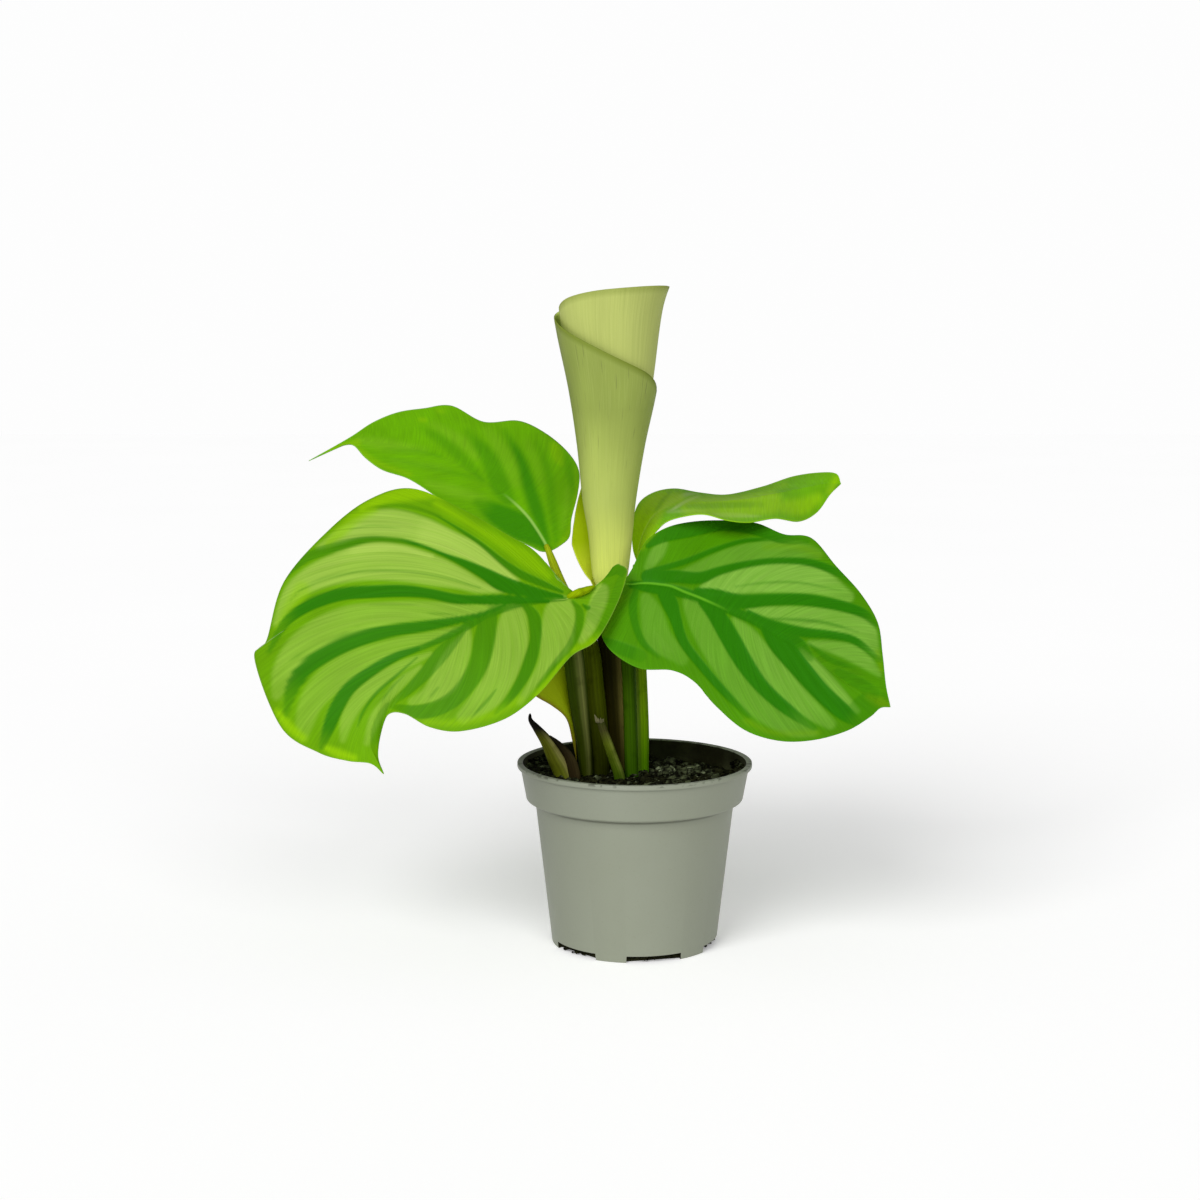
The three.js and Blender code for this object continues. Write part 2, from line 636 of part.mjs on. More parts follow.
function soilBlock() {
  const side = POT_SHEET + SOIL_SIDE_GAP;
  const profile = [
    [0, POT_FLOOR + CLEARANCE],
    [POT_BASE_RADIUS - side, POT_FLOOR + CLEARANCE],
    [POT_WALL_TOP_RADIUS - side, POT_COLLAR_FOOT],
    [POT_COLLAR_FOOT_RADIUS - side, POT_COLLAR_FOOT + 2 * POT_STEP_ROUNDING],
    [SOIL_RIM_RADIUS, SOIL_LEVEL],
  ];
  for (let ring = SOIL_RINGS; ring >= 0; ring -= 1) {
    profile.push([ring * SOIL_RING_STEP, SOIL_LEVEL]);
  }
  const block = revolved(profile, SOIL_SEGMENTS);
  const position = block.attributes.position;
  for (let i = 0; i < position.count; i += 1) {
    if (position.getZ(i) > SOIL_LEVEL - WELD_TOLERANCE) {
      position.setZ(i, soilTop(position.getX(i), position.getY(i)));
    }
  }
  return toManifold(block);
}

// A crumb of peat or bark, lying at a random place on the soil.
function crumbSolid(random) {
  const radius = CRUMB_FIELD_RADIUS * Math.sqrt(random());
  const angle = random() * 2 * Math.PI;
  const size = CRUMB_SMALLEST + CRUMB_SPREAD * random();
  const crumb = weld(new THREE.OctahedronGeometry(size, 0));
  crumb.scale(...CRUMB_FLATNESS);
  crumb.rotateX(random() * CRUMB_TILT);
  crumb.rotateZ(random() * Math.PI);
  const x = radius * Math.cos(angle);
  const y = radius * Math.sin(angle);
  crumb.translate(x, y, soilTop(x, y) - CRUMB_SINK * size);
  return toManifold(facingOut(crumb));
}

function soilSolid(stemCutters) {
  const random = seededRandom(CRUMB_SEED);
  let soil = soilBlock();
  for (let i = 0; i < CRUMB_COUNT; i += 1) {
    soil = soil.add(crumbSolid(random));
  }
  for (const cutter of stemCutters) {
    soil = soil.subtract(cutter);
  }
  return fromManifold(soil);
}

// The plant in its pot
const plant = new THREE.Group();

function addPiece(name, geometry, surface) {
  const mesh = new THREE.Mesh(geometry, surface);
  mesh.name = name;
  plant.add(mesh);
}

const stems = { ...petioles, petiole_rolled_leaf: rolledPetiole, cut_petiole: cutPetiole };
const cutters = Object.values(stems).map((stem) => toManifold(stemSolid(stem, CLEARANCE)));
cutters.push(driedShootSolid(CLEARANCE));

addPiece("pot", potSolid(), potPlastic());
addPiece("soil", soilSolid(cutters), pottingSoil());
addPiece("leaf_front_left", bladeSolid(frontLeftBlade), frontLeafGreen());
addPiece("leaf_front_right", bladeSolid(frontRightBlade), frontLeafGreen());
addPiece("leaf_back_left", bladeSolid(backLeftBlade), backLeafGreen());
addPiece("leaf_back_right", bladeSolid(backRightBlade), backLeafGreen());
addPiece("leaf_rolled", rolledLeaf(), rolledLeafGreen());
for (const [name, stem] of Object.entries(stems)) {
  addPiece(name, stemSolid(stem), petioleGreen());
}
addPiece("outer_sheath", bladeSolid(outerSheathBlade), sheathOlive());
addPiece("dried_shoot", fromManifold(driedShootSolid()), driedHusk());

export default plant;
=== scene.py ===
import math
import random
import bmesh
import bpy
import numpy as np
from mathutils import Matrix, Vector, noise


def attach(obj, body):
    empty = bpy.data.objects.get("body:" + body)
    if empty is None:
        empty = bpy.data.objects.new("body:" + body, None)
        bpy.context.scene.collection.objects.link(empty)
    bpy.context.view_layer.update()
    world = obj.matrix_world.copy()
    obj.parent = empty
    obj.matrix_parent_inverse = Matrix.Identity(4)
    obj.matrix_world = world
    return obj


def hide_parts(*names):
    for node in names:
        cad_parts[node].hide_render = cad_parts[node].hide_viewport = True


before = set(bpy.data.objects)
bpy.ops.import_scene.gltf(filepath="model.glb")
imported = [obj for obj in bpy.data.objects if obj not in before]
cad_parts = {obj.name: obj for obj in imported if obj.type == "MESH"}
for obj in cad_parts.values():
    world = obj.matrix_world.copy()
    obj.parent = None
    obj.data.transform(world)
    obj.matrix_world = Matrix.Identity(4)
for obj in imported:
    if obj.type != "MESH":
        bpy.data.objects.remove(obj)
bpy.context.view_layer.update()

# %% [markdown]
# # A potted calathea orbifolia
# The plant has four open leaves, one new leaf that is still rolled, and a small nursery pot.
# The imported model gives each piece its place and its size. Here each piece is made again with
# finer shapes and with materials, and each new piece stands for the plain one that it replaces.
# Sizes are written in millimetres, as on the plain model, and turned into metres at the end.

MM = 0.001

# %% [markdown]
# ## The camera
# The plant was seen from one metre away, from a little below the top of its rolled leaf, by an eye
# that looked down by about seven degrees. The same eye is used to place the leaves, because their
# outlines are known as that eye sees them.

# %% Camera
EYE = np.array([-17.7, -1000.0, 303.8])
LOOK_DOWN = math.radians(7.25)


def in_scene(name, data):
    """An object that holds this mesh, light or camera, linked to the scene."""
    thing = bpy.data.objects.new(name, data)
    bpy.context.scene.collection.objects.link(thing)
    return thing


camera_data = bpy.data.cameras.new("photo_camera")
camera_data.sensor_width = 36
camera_data.lens = 59.68
camera_data.clip_end = 20
camera = in_scene("photo_camera", camera_data)
camera.location = Vector(EYE) * MM
camera.rotation_euler = (math.pi / 2 - LOOK_DOWN, 0, 0)
bpy.context.scene.camera = camera
print("camera lens", camera_data.lens, "mm, one metre in front")

# %% [markdown]
# ## Making a mesh into a piece
# Every piece goes through the same last steps: its mesh is stored in metres, it is named, it
# rides on the one body of the model, and the plain node that it stands for is hidden.

# %% Pieces
def stored(bm, name):
    """The bmesh as a mesh of its own. The bmesh is freed."""
    mesh = bpy.data.meshes.new(name)
    bm.to_mesh(mesh)
    bm.free()
    return mesh


def finished_piece(bm, name, nodes, finishes, smooth=True):
    mesh = stored(bm, name)
    for finish in finishes:
        mesh.materials.append(finish.material)
    mesh.polygons.foreach_set("use_smooth", [smooth] * len(mesh.polygons))
    piece = in_scene(name, mesh)
    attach(piece, "root")
    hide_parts(*nodes)
    print(name, "has", len(mesh.polygons), "faces")
    return piece


# %% [markdown]
# ## Building materials from nodes
# A material here is one Principled shader with a few nodes in front of it. A small class keeps
# that short. It holds the material and the colour that is mixed so far, as a painter would: mix
# starts the colour, lay puts another one over it by some amount, shade makes it darker or lighter,
# and paint plugs it into the shader. The amounts come from noise, ramps and the mesh itself.

# %% Finishes
class Finish:
    """One Principled material, and the colour that is mixed for it so far."""

    def __init__(self, name, roughness, specular):
        self.material = bpy.data.materials.new(name)
        self.material.use_nodes = True
        self.tree = self.material.node_tree
        self.shader = self.tree.nodes["Principled BSDF"]
        self.shader.inputs["Roughness"].default_value = roughness
        self.shader.inputs["Specular IOR Level"].default_value = specular

    def add(self, kind, inputs, output=0, **settings):
        """Adds a node, sets or plugs its inputs, and gives one of its outputs."""
        node = self.tree.nodes.new(kind)
        for name, value in settings.items():
            setattr(node, name, value)
        for socket, value in inputs.items():
            if isinstance(value, bpy.types.NodeSocket):
                self.tree.links.new(value, node.inputs[socket])
            else:
                node.inputs[socket].default_value = value
        return node.outputs[output]

    def plug(self, socket, value):
        self.tree.links.new(value, self.shader.inputs[socket])

    def mixed(self, amount, first, second, blend="MIX"):
        first, second = ((*colour, 1) if isinstance(colour, tuple) else colour
                         for colour in (first, second))
        return self.add("ShaderNodeMix", {0: amount, 6: first, 7: second}, output=2,
                        data_type="RGBA", blend_type=blend)

    def mix(self, amount, first, second):
        self.colour = self.mixed(amount, first, second)

    def lay(self, amount, colour):
        self.colour = self.mixed(amount, self.colour, colour)

    def shade(self, value):
        tone = self.add("ShaderNodeCombineColor", {0: value, 1: value, 2: value})
        self.colour = self.mixed(1.0, self.colour, tone, "MULTIPLY")

    def paint(self):
        self.plug("Base Color", self.colour)

    def maths(self, operation, first, second):
        return self.add("ShaderNodeMath", {0: first, 1: second}, operation=operation)

    def times(self, first, second):
        return self.maths("MULTIPLY", first, second)

    def ramp(self, value, low, high, to_low=0.0, to_high=1.0):
        """Runs from to_low to to_high while the value goes from low to high."""
        return self.add("ShaderNodeMapRange", {0: value, 1: low, 2: high, 3: to_low, 4: to_high})

    def across(self, place, axis):
        return self.add("ShaderNodeSeparateXYZ", {"Vector": place}, output=axis)

    def place(self):
        """Where a point lies on the object, in metres."""
        return self.add("ShaderNodeTexCoord", {}, output="Object")

    def map_place(self):
        """Where a point lies on the piece's own map, along and out."""
        return self.add("ShaderNodeUVMap", {}, uv_map="along_and_out")

    def noise_at(self, place, stretch, scale, detail):
        place = self.add("ShaderNodeMapping", {"Vector": place, "Scale": stretch})
        return self.add("ShaderNodeTexNoise", {"Vector": place, "Scale": scale, "Detail": detail})

    def grain(self, scale, detail, stretch=(1, 1, 1)):
        return self.noise_at(self.place(), stretch, scale, detail)

    def streaks(self, along, out, detail):
        return self.noise_at(self.map_place(), (along, out, 1), 1.0, detail)

    def amount(self, name):
        """An amount that is stored on the mesh."""
        return self.add("ShaderNodeAttribute", {}, output="Fac", attribute_name=name)

    def bump(self, height, depth, strength=1.0):
        self.plug("Normal", self.add("ShaderNodeBump", {"Height": height, "Distance": depth,
                                                        "Strength": strength}))


def tinted(colour, factor):
    return tuple(factor * channel for channel in colour)


# %% [markdown]
# ## The pot
# The pot is one sheet of soft grey-green plastic, moulded in one piece. It has a plain tapered
# wall, a collar that steps outwards, a small lip, and a foot with notches to let water out.
# Its outline is drawn once as a half section and spun round the axis, which is how a moulder
# would think of it, and its corners are then rounded. Boxes cut the notches.

# %% Pot section
POT_FOOT_RADIUS = 42.4
POT_SECTION = [
    (0, 0), (POT_FOOT_RADIUS, 0), (50.8, 73), (55.4, 75), (58.4, 91.3), (60, 91.3), (60, 93.7),
    (57.2, 93.7), (56.6, 91), (54.2, 75.9), (49.6, 74.2), (41.2, 1.6), (0, 1.6),
]
POT_STEPS = 144
SAME_LEVEL = 1e-6


def spun(section, steps):
    bm = bmesh.new()
    points = [bm.verts.new((radius * MM, 0, height * MM)) for radius, height in section]
    lines = [bm.edges.new(pair) for pair in zip(points, points[1:])]
    bmesh.ops.spin(bm, geom=points + lines, cent=(0, 0, 0), axis=(0, 0, 1), angle=2 * math.pi,
                   steps=steps, use_merge=True)
    bmesh.ops.remove_doubles(bm, verts=bm.verts, dist=1e-6)
    bmesh.ops.recalc_face_normals(bm, faces=bm.faces)
    return bm


pot_mesh = spun(POT_SECTION, POT_STEPS)
print("pot spun from", len(POT_SECTION), "points")

# %% Rounded corners
CORNER_ROUNDING = 0.5
NEAR_AXIS = 30
SHARP_TURN = 0.25


def is_corner(edge):
    """Whether the edge runs round the pot where its section turns sharply."""
    level = abs(edge.verts[0].co.z - edge.verts[1].co.z) < SAME_LEVEL
    radii = [vertex.co.xy.length for vertex in edge.verts]
    return (level and abs(radii[0] - radii[1]) < SAME_LEVEL and max(radii) > NEAR_AXIS * MM
            and len(edge.link_faces) == 2 and edge.calc_face_angle(0) > SHARP_TURN)


corners = [edge for edge in pot_mesh.edges if is_corner(edge)]
bmesh.ops.bevel(pot_mesh, geom=corners, offset=CORNER_ROUNDING * MM, offset_type="OFFSET",
                segments=3, profile=0.5, affect="EDGES", material=-1, clamp_overlap=True)
print("rounded", len(corners), "corner edges")

# %% [markdown]
# ### Drain notches
# Six shallow notches cut through the rim of the foot, so that the pot stands on the six short
# arcs between them. A Boolean makes the cut, and its result replaces the mesh, so that no
# cutting box is left in the scene.

# %% Drain notches
NOTCHES = 6
NOTCH_TURN = 360 / NOTCHES
NOTCH_FIRST_ANGLE = -137
NOTCH_SIZE = (10, 28, 7)


def notch_cutter():
    bm = bmesh.new()
    for i in range(NOTCHES):
        turn = Matrix.Rotation(math.radians(NOTCH_FIRST_ANGLE + NOTCH_TURN * i), 4, "Z")
        shift = Matrix.Translation((POT_FOOT_RADIUS * MM, 0, 0))
        size = Matrix.Diagonal((*(side * MM for side in NOTCH_SIZE), 1))
        bmesh.ops.create_cube(bm, size=1, matrix=turn @ shift @ size)
    return stored(bm, "notch_cutter")


def cut(bm, cutter_mesh):
    mesh = stored(bm, "uncut")
    body, cutter = in_scene("uncut", mesh), in_scene("cutter", cutter_mesh)
    boolean = body.modifiers.new("notches", "BOOLEAN")
    boolean.operation = "DIFFERENCE"
    boolean.solver = "EXACT"
    boolean.object = cutter
    bpy.context.view_layer.update()
    result = bmesh.new()
    result.from_object(body, bpy.context.evaluated_depsgraph_get())
    for thing in (body, cutter):
        bpy.data.objects.remove(thing)
    for used in (mesh, cutter_mesh):
        bpy.data.meshes.remove(used)
    return result


pot_mesh = cut(pot_mesh, notch_cutter())
print("pot with its notches:", len(pot_mesh.faces), "faces")

# %% [markdown]
# ### Pot plastic
# Thin moulded plastic has a soft, even sheen and a very slight orange-peel grain. Used nursery
# pots also pick up some soil dust, and wet dirt on the lip. This one is painted darker down its
# left side as painted shade, and a dark line of painted shade lies in the crease under the collar,
# fading at both ends.

# %% Pot plastic
SHADED_LEFT_SIDE = (-0.052, -0.012)
CREASE_SHADE_RISES, CREASE_SHADE_ENDS = (0.0722, 0.0729), (0.0736, 0.0744)
CREASE_SHADE_FADES = (0.036, 0.043)
LIP_RISES = (0.0922, 0.0932)

pot_plastic = Finish("pot_plastic", 0.5, 0.3)
cloud = pot_plastic.grain(22, 3)
side, level = (pot_plastic.across(pot_plastic.place(), axis) for axis in (0, 2))
pot_plastic.mix(cloud, (0.222, 0.24, 0.175), (0.252, 0.272, 0.212))
speck = pot_plastic.grain(900, 2)
pot_plastic.lay(pot_plastic.ramp(speck, 0.62, 0.74, 0.0, 0.25), (0.20, 0.20, 0.14))
# Painted shade: the pot is made darker down its left side.
pot_plastic.shade(pot_plastic.ramp(side, *SHADED_LEFT_SIDE, 0.78, 1.0))
# Painted shade: a thin dark line in the crease under the collar, fading at both ends.
crease_shade = pot_plastic.times(pot_plastic.ramp(level, *CREASE_SHADE_RISES),
                           pot_plastic.ramp(level, *CREASE_SHADE_ENDS, 0.7, 0.0))
from_middle = pot_plastic.maths("ABSOLUTE", side, 0.0)
crease_shade = pot_plastic.times(crease_shade, pot_plastic.ramp(from_middle, *CREASE_SHADE_FADES, 1.0, 0.1))
pot_plastic.lay(crease_shade, (0.07, 0.075, 0.05))
lip_stain = pot_plastic.times(pot_plastic.ramp(level, *LIP_RISES),
                              pot_plastic.ramp(pot_plastic.grain(190, 4), 0.56, 0.62, 0.0, 0.6))
pot_plastic.lay(lip_stain, (0.03, 0.03, 0.015))
pot_plastic.paint()
pot_plastic.plug("Roughness", pot_plastic.ramp(cloud, 0.3, 0.7, 0.42, 0.56))
pot_plastic.bump(pot_plastic.grain(700, 2), 0.00012, 0.5)
print("pot plastic made")

# %% [markdown]
# ### The stained and shaded inside
# Wet peat has stained the inner wall, and painted shade darkens it further to almost black. The
# notches under the foot are in deep shade with soil in them, and they are given painted shade too.
# Those faces get a second, darker material.

# %% Stained and shaded inside
STAIN_AND_SHADE_TOP = 92.5
NOTCH_FLOOR, NOTCH_ROOF, NOTCH_REACH = 0.2, 3.6, 42

stain_and_shade = Finish("stained_and_shaded_inside", 0.8, 0.1)
stain_and_shade_grain = stain_and_shade.grain(45, 4)
# Painted shade over peat stain: the inner wall and the notch faces are made nearly black.
stain_and_shade.mix(stain_and_shade.ramp(stain_and_shade_grain, 0.4, 0.7), (0.010, 0.010, 0.002), (0.045, 0.050, 0.020))
stain_and_shade.paint()
stain_and_shade.bump(stain_and_shade.grain(600, 2), 0.0002, 0.5)
for face in pot_mesh.faces:
    centre = face.calc_center_median()
    inward = face.normal.xy.dot(centre.xy) < 0 and centre.z < STAIN_AND_SHADE_TOP * MM
    in_notch = (NOTCH_FLOOR * MM < centre.z < NOTCH_ROOF * MM
                and centre.xy.length < NOTCH_REACH * MM)
    face.material_index = 1 if inward or in_notch else 0
pot = finished_piece(pot_mesh, "nursery_pot", ["pot"], [pot_plastic, stain_and_shade])
pot.data.set_sharp_from_angle(angle=math.radians(35))

# %% [markdown]
# ## The potting soil
# Potting soil is dark, moist peat with fibres, bits of bark and a few pale grains. The body is
# spun like the pot, with rings close enough to carry small lumps. Loose bits lie on it, each a
# small squashed ball, and nearly all of them are roughened. Most are balls of twenty faces, so
# hundreds of them stay light, and only the few larger clods are finer.

# %% Soil surface
SOIL_LEVEL = 86.3
SOIL_RIM = 54.9
SOIL_RING = 1.5


def soil_height(x, y):
    """Height of the soil in millimetres, with the same slow lumps as the plain model."""
    lumps = math.sin(x * 0.31 + 1.3 * math.sin(y * 0.23)) * math.cos(y * 0.37 + math.sin(x * 0.19))
    fine = noise.noise((x * 0.45, y * 0.45, 3.0)) + 0.5 * noise.noise((x * 1.1, y * 1.1, 7.0))
    rim = min(1.0, max(0.0, (SOIL_RIM - math.hypot(x, y)) / 4))
    return SOIL_LEVEL - 0.03 * (x + y) + 0.9 * lumps + 0.9 * fine * rim


soil_section = [(0, 2), (40.7, 2), (49.1, 75), (53.7, 76.6)]
soil_section += [(SOIL_RIM - SOIL_RING * ring, SOIL_LEVEL) for ring in range(37)]
soil_mesh = spun(soil_section, 108)
for vertex in soil_mesh.verts:
    if vertex.co.z > (SOIL_LEVEL - 0.1) * MM:
        vertex.co.z = soil_height(vertex.co.x / MM, vertex.co.y / MM) * MM
print("soil surface with", len(soil_mesh.verts), "points")

# %% Crumbs and clods
PEAT, BARK, GRIT = range(3)
CRUMBS, CLODS = 950, 46
CRUMB_KINDS = [
    # chosen below, sizes, flatness, finish, how far it sinks in its own sizes
    (0.55, (0.7, 2.6), (0.8, 0.65), PEAT, 0.1),
    (0.82, (0.9, 3.2), (0.55, 0.4), BARK, -0.1),
    (0.92, (1.8, 4.2), (0.14, 0.10), PEAT, -0.4),
    (1.00, (0.5, 1.9), (0.7, 0.45), GRIT, -0.1),
]
chance = random.Random(5)


def add_ball(centre, size, flatness, finish=PEAT, roughness=0.0, fineness=1, turn=Matrix()):
    """Adds a rough ball to the soil, with its centre and its size in millimetres."""
    place = Matrix.Translation(Vector(centre) * MM)
    stretch = Matrix.Diagonal((size * MM, size * flatness[0] * MM, size * flatness[1] * MM, 1))
    made = bmesh.ops.create_icosphere(soil_mesh, subdivisions=fineness, radius=1,
                                      matrix=place @ turn @ stretch)
    if roughness:
        for vertex in made["verts"]:
            vertex.co += noise.random_unit_vector() * size * roughness * MM
    for face in {face for vertex in made["verts"] for face in vertex.link_faces}:
        face.material_index = finish


def round_axis(radius, angle, height):
    return radius * math.cos(angle), radius * math.sin(angle), height


def add_crumb(size, flatness, finish, sink, roughness=0.16, fineness=1):
    """Drops a crumb somewhere on the soil, turned any way round."""
    x, y, _ = round_axis((53 - size) * math.sqrt(chance.random()), chance.random() * 2 * math.pi, 0)
    turn = Matrix.Rotation(chance.random() * 6.28, 4, "Z")
    turn = turn @ Matrix.Rotation(chance.uniform(-0.7, 0.7), 4, "X")
    centre = (x, y, soil_height(x, y) - sink * size)
    add_ball(centre, size, flatness, finish, roughness, fineness, turn)


noise.seed_set(4)
for i in range(CLODS):
    add_crumb(chance.uniform(2.6, 5.0), (0.8, 0.62), (PEAT, BARK)[i % 2], 0.1, 0.12, 3)
for i in range(CRUMBS):
    choice = chance.random()
    sizes, flatness, finish, sink = next(kind[1:] for kind in CRUMB_KINDS if choice < kind[0])
    add_crumb(chance.uniform(*sizes), flatness, finish, sink)
print("laid", CLODS, "clods and", CRUMBS, "crumbs")

# %% Soil on the wall, and a pale clump
def wall_place(angle):
    return round_axis(chance.uniform(54.2, 55.6), angle, chance.uniform(86.5, 91))


def clump_place(angle):
    x, y = 23 + 11 * chance.uniform(-1, 1), 10 + 9 * chance.uniform(-1, 1)
    return x, y, soil_height(x, y) + chance.uniform(0.5, 2.2)


HEAPS = [
    # where, how many, the finishes in turn, sizes, angles round the pot
    (wall_place, 190, (PEAT, PEAT, BARK), (0.6, 1.5), (130, 262)),
    (wall_place, 60, (PEAT, PEAT, BARK), (0.6, 1.6), (-28, 22)),
    (clump_place, 46, (BARK, GRIT, BARK), (1.1, 2.8), (0, 0)),
]
for place_of, count, finishes, sizes, angles in HEAPS:
    for i in range(count):
        size = chance.uniform(*sizes)
        centre = place_of(math.radians(chance.uniform(*angles)))
        add_ball(centre, size, (0.8, 0.7), finishes[i % 3], 0.2)
print("heaped", sum(heap[1] for heap in HEAPS), "bits")

# %% Soil in the drain notches
NOTCH_BITS = 30
NOTCH_HALF_ANGLE = 17

for notch in range(NOTCHES):
    for i in range(NOTCH_BITS):
        off_centre = chance.uniform(-NOTCH_HALF_ANGLE, NOTCH_HALF_ANGLE)
        angle = math.radians(NOTCH_FIRST_ANGLE + NOTCH_TURN * notch + off_centre)
        radius, size = chance.uniform(38.6, 41.4), chance.uniform(0.5, 1.3)
        add_ball(round_axis(radius, angle, chance.uniform(size, 3.1)), size, (1, 0.9))
print("put", NOTCHES * NOTCH_BITS, "bits in the notches")

# %% Soil finishes
def soil_finish(name, roughness, specular, grain, rises, dark, pale, depth):
    finish = Finish(name, roughness, specular)
    lumps = finish.grain(*grain)
    finish.mix(finish.ramp(lumps, *rises), dark, pale)
    finish.paint()
    finish.bump(lumps, depth)
    return finish


soil_finishes = [
    soil_finish("dark_peat", 0.95, 0.04, (420, 4), (0.4, 0.7),
                (0.002, 0.002, 0.0005), (0.022, 0.023, 0.008), 0.0008),
    soil_finish("bark_bits", 0.9, 0.06, (260, 3), (0.4, 0.65),
                (0.003, 0.003, 0.001), (0.075, 0.088, 0.042), 0.0004),
    soil_finish("pale_grit", 0.85, 0.1, (420, 3), (0.45, 0.6),
                (0.010, 0.012, 0.004), (0.20, 0.23, 0.13), 0.0003),
]
finished_piece(soil_mesh, "potting_soil", ["soil"], soil_finishes, smooth=False)

# %% [markdown]
# ## A leaf as a net of veins
# An orbifolia leaf has one midrib, and many side veins that run from it to the margin in long
# arcs. Its stripes follow those veins. So each blade is a net: one direction runs along the leaf
# from its joint to its tip, and the other runs out along a side vein. The net starts as a plain
# grid, and every point is moved to its place, which keeps the stripes and the shape together.

# %% Smooth lines through marks
def smooth_line(marks, places):
    """A smooth curve through evenly spaced marks, read at places from 0 to 1."""
    marks = np.asarray(marks, float)
    padded = np.vstack([2 * marks[0] - marks[1], marks, 2 * marks[-1] - marks[-2]])
    position = np.clip(places, 0, 1) * (len(marks) - 1)
    low = np.minimum(position.astype(int), len(marks) - 2)
    t = (position - low)[..., None]
    before, start, end, after = (padded[low + k] for k in range(4))
    return 0.5 * (2 * start + (end - before) * t + (2 * before - 5 * start + 4 * end - after) * t**2
                  + (3 * start - before - 3 * end + after) * t**3)


def eased(value, low, high):
    t = np.clip((value - low) / (high - low), 0, 1)
    return t * t * (3 - 2 * t)


def from_eye(across, up, away):
    """A point that the eye sees at across and up, lying away behind the upright plane."""
    reach = 1 + away / 1000
    return np.stack([EYE[0] + (across - EYE[0]) * reach, away + 0 * across,
                     EYE[2] + (up - EYE[2]) * reach], axis=-1)


# %% [markdown]
# ### Where a side vein runs
# A side vein leaves the midrib, bulges towards the base of the leaf and ends at the margin. The
# tables below hold, for each station along a leaf, a point of the midrib and the two points of
# the margin, as across and up in millimetres. A third number lifts the point towards the eye.

# %% Side veins
def seen_point(leaf, along, out):
    """Across, up and lift of the point at along, and out from -1 (front margin) to 1 (back)."""
    along, out = np.broadcast_arrays(along, out)
    rails = [[(*station[k], 0)[:3] for station in leaf["stations"]] for k in range(3)]
    middle = smooth_line(rails[0], along)
    is_back = out >= 0
    edge = np.where(is_back[..., None], smooth_line(rails[1], along), smooth_line(rails[2], along))
    back_sweep, front_sweep = leaf["sweep"]
    strength = np.where(is_back, back_sweep, -front_sweep * (1 - eased(along, 0.6, 0.85)))
    sweep = (strength * leaf["side"] * eased(along, 0.2, 0.5)
             * np.sqrt(np.maximum(np.sin(np.pi * along), 0)))
    chord = edge - middle
    bend = np.stack([chord[..., 1] * sweep, -chord[..., 0] * sweep, 0 * sweep], axis=-1)
    sag = leaf.get("sag", 0) * (1 - eased(along, 0, 0.3)) * ~is_back
    bend = bend + sag[..., None] * np.array([0.35, -1, 0])
    control = (middle + edge) / 2 + bend
    t = np.abs(out)[..., None]
    return middle * (1 - t)**2 + 2 * control * t * (1 - t) + edge * t**2


def bowed_point(leaf, seen, lift):
    """The place in space of a seen point: the blade leans and arches away from the eye."""
    start = leaf["stations"][0][0]
    across = seen[..., 0] - start[0]
    up = seen[..., 1] - start[1]
    away, across_slope, up_slope, across_curve, up_curve = leaf["bow"]
    depth = (away + across_slope * across + up_slope * up + across_curve * across**2
             + up_curve * up**2 - seen[..., 2] - lift)
    return from_eye(seen[..., 0], seen[..., 1], depth)


# %% Front left leaf
front_left = {
    "side": 1, "soft": (1.3, 2.6, 4), "sag": 7, "sweep": (0.3, 0.3),
    "bow": (-26, 0.3, 0.8, 0.0028, 0.0035),
    "stations": [
        [(-31.2, 180.8), (-39.6, 187), (-11.5, 193.3, 9)],
        [(-31.5, 179.6), (-43.5, 193.5), (-9.5, 194.6, 9.5)],
        [(-32, 178.4), (-52, 202.5), (-7.5, 194.5, 10)],
        [(-33, 177.4), (-64, 209.5), (-4, 190.5, 9)],
        [(-35.5, 176.7), (-87, 222.5), (-9, 174.5, 3)],
        [(-40, 176.4), (-112, 233), (-19.5, 156)],
        [(-46, 176), (-133, 228), (-32.5, 147.5)],
        [(-51.5, 176), (-154, 212.5), (-48.5, 128.8)],
        [(-60, 175.5), (-177.5, 186), (-66, 115.5)],
        [(-71, 173), (-187, 156), (-88.5, 109)],
        [(-83.5, 164.5), (-193.3, 146), (-104.5, 111)],
        [(-96.5, 155.5), (-180.5, 111), (-117.5, 118)],
        [(-112, 142), (-162, 98), (-126, 117.5, -3)],
        [(-126, 129.5), (-147, 93.5), (-130, 107, -4)],
        [(-135.5, 106), (-135, 92), (-131.3, 95.5, -2)],
        [(-128.5, 86.5), (-128.5, 86.5), (-128.5, 86.5)],
    ],
}
print("front left leaf:", len(front_left["stations"]), "stations")

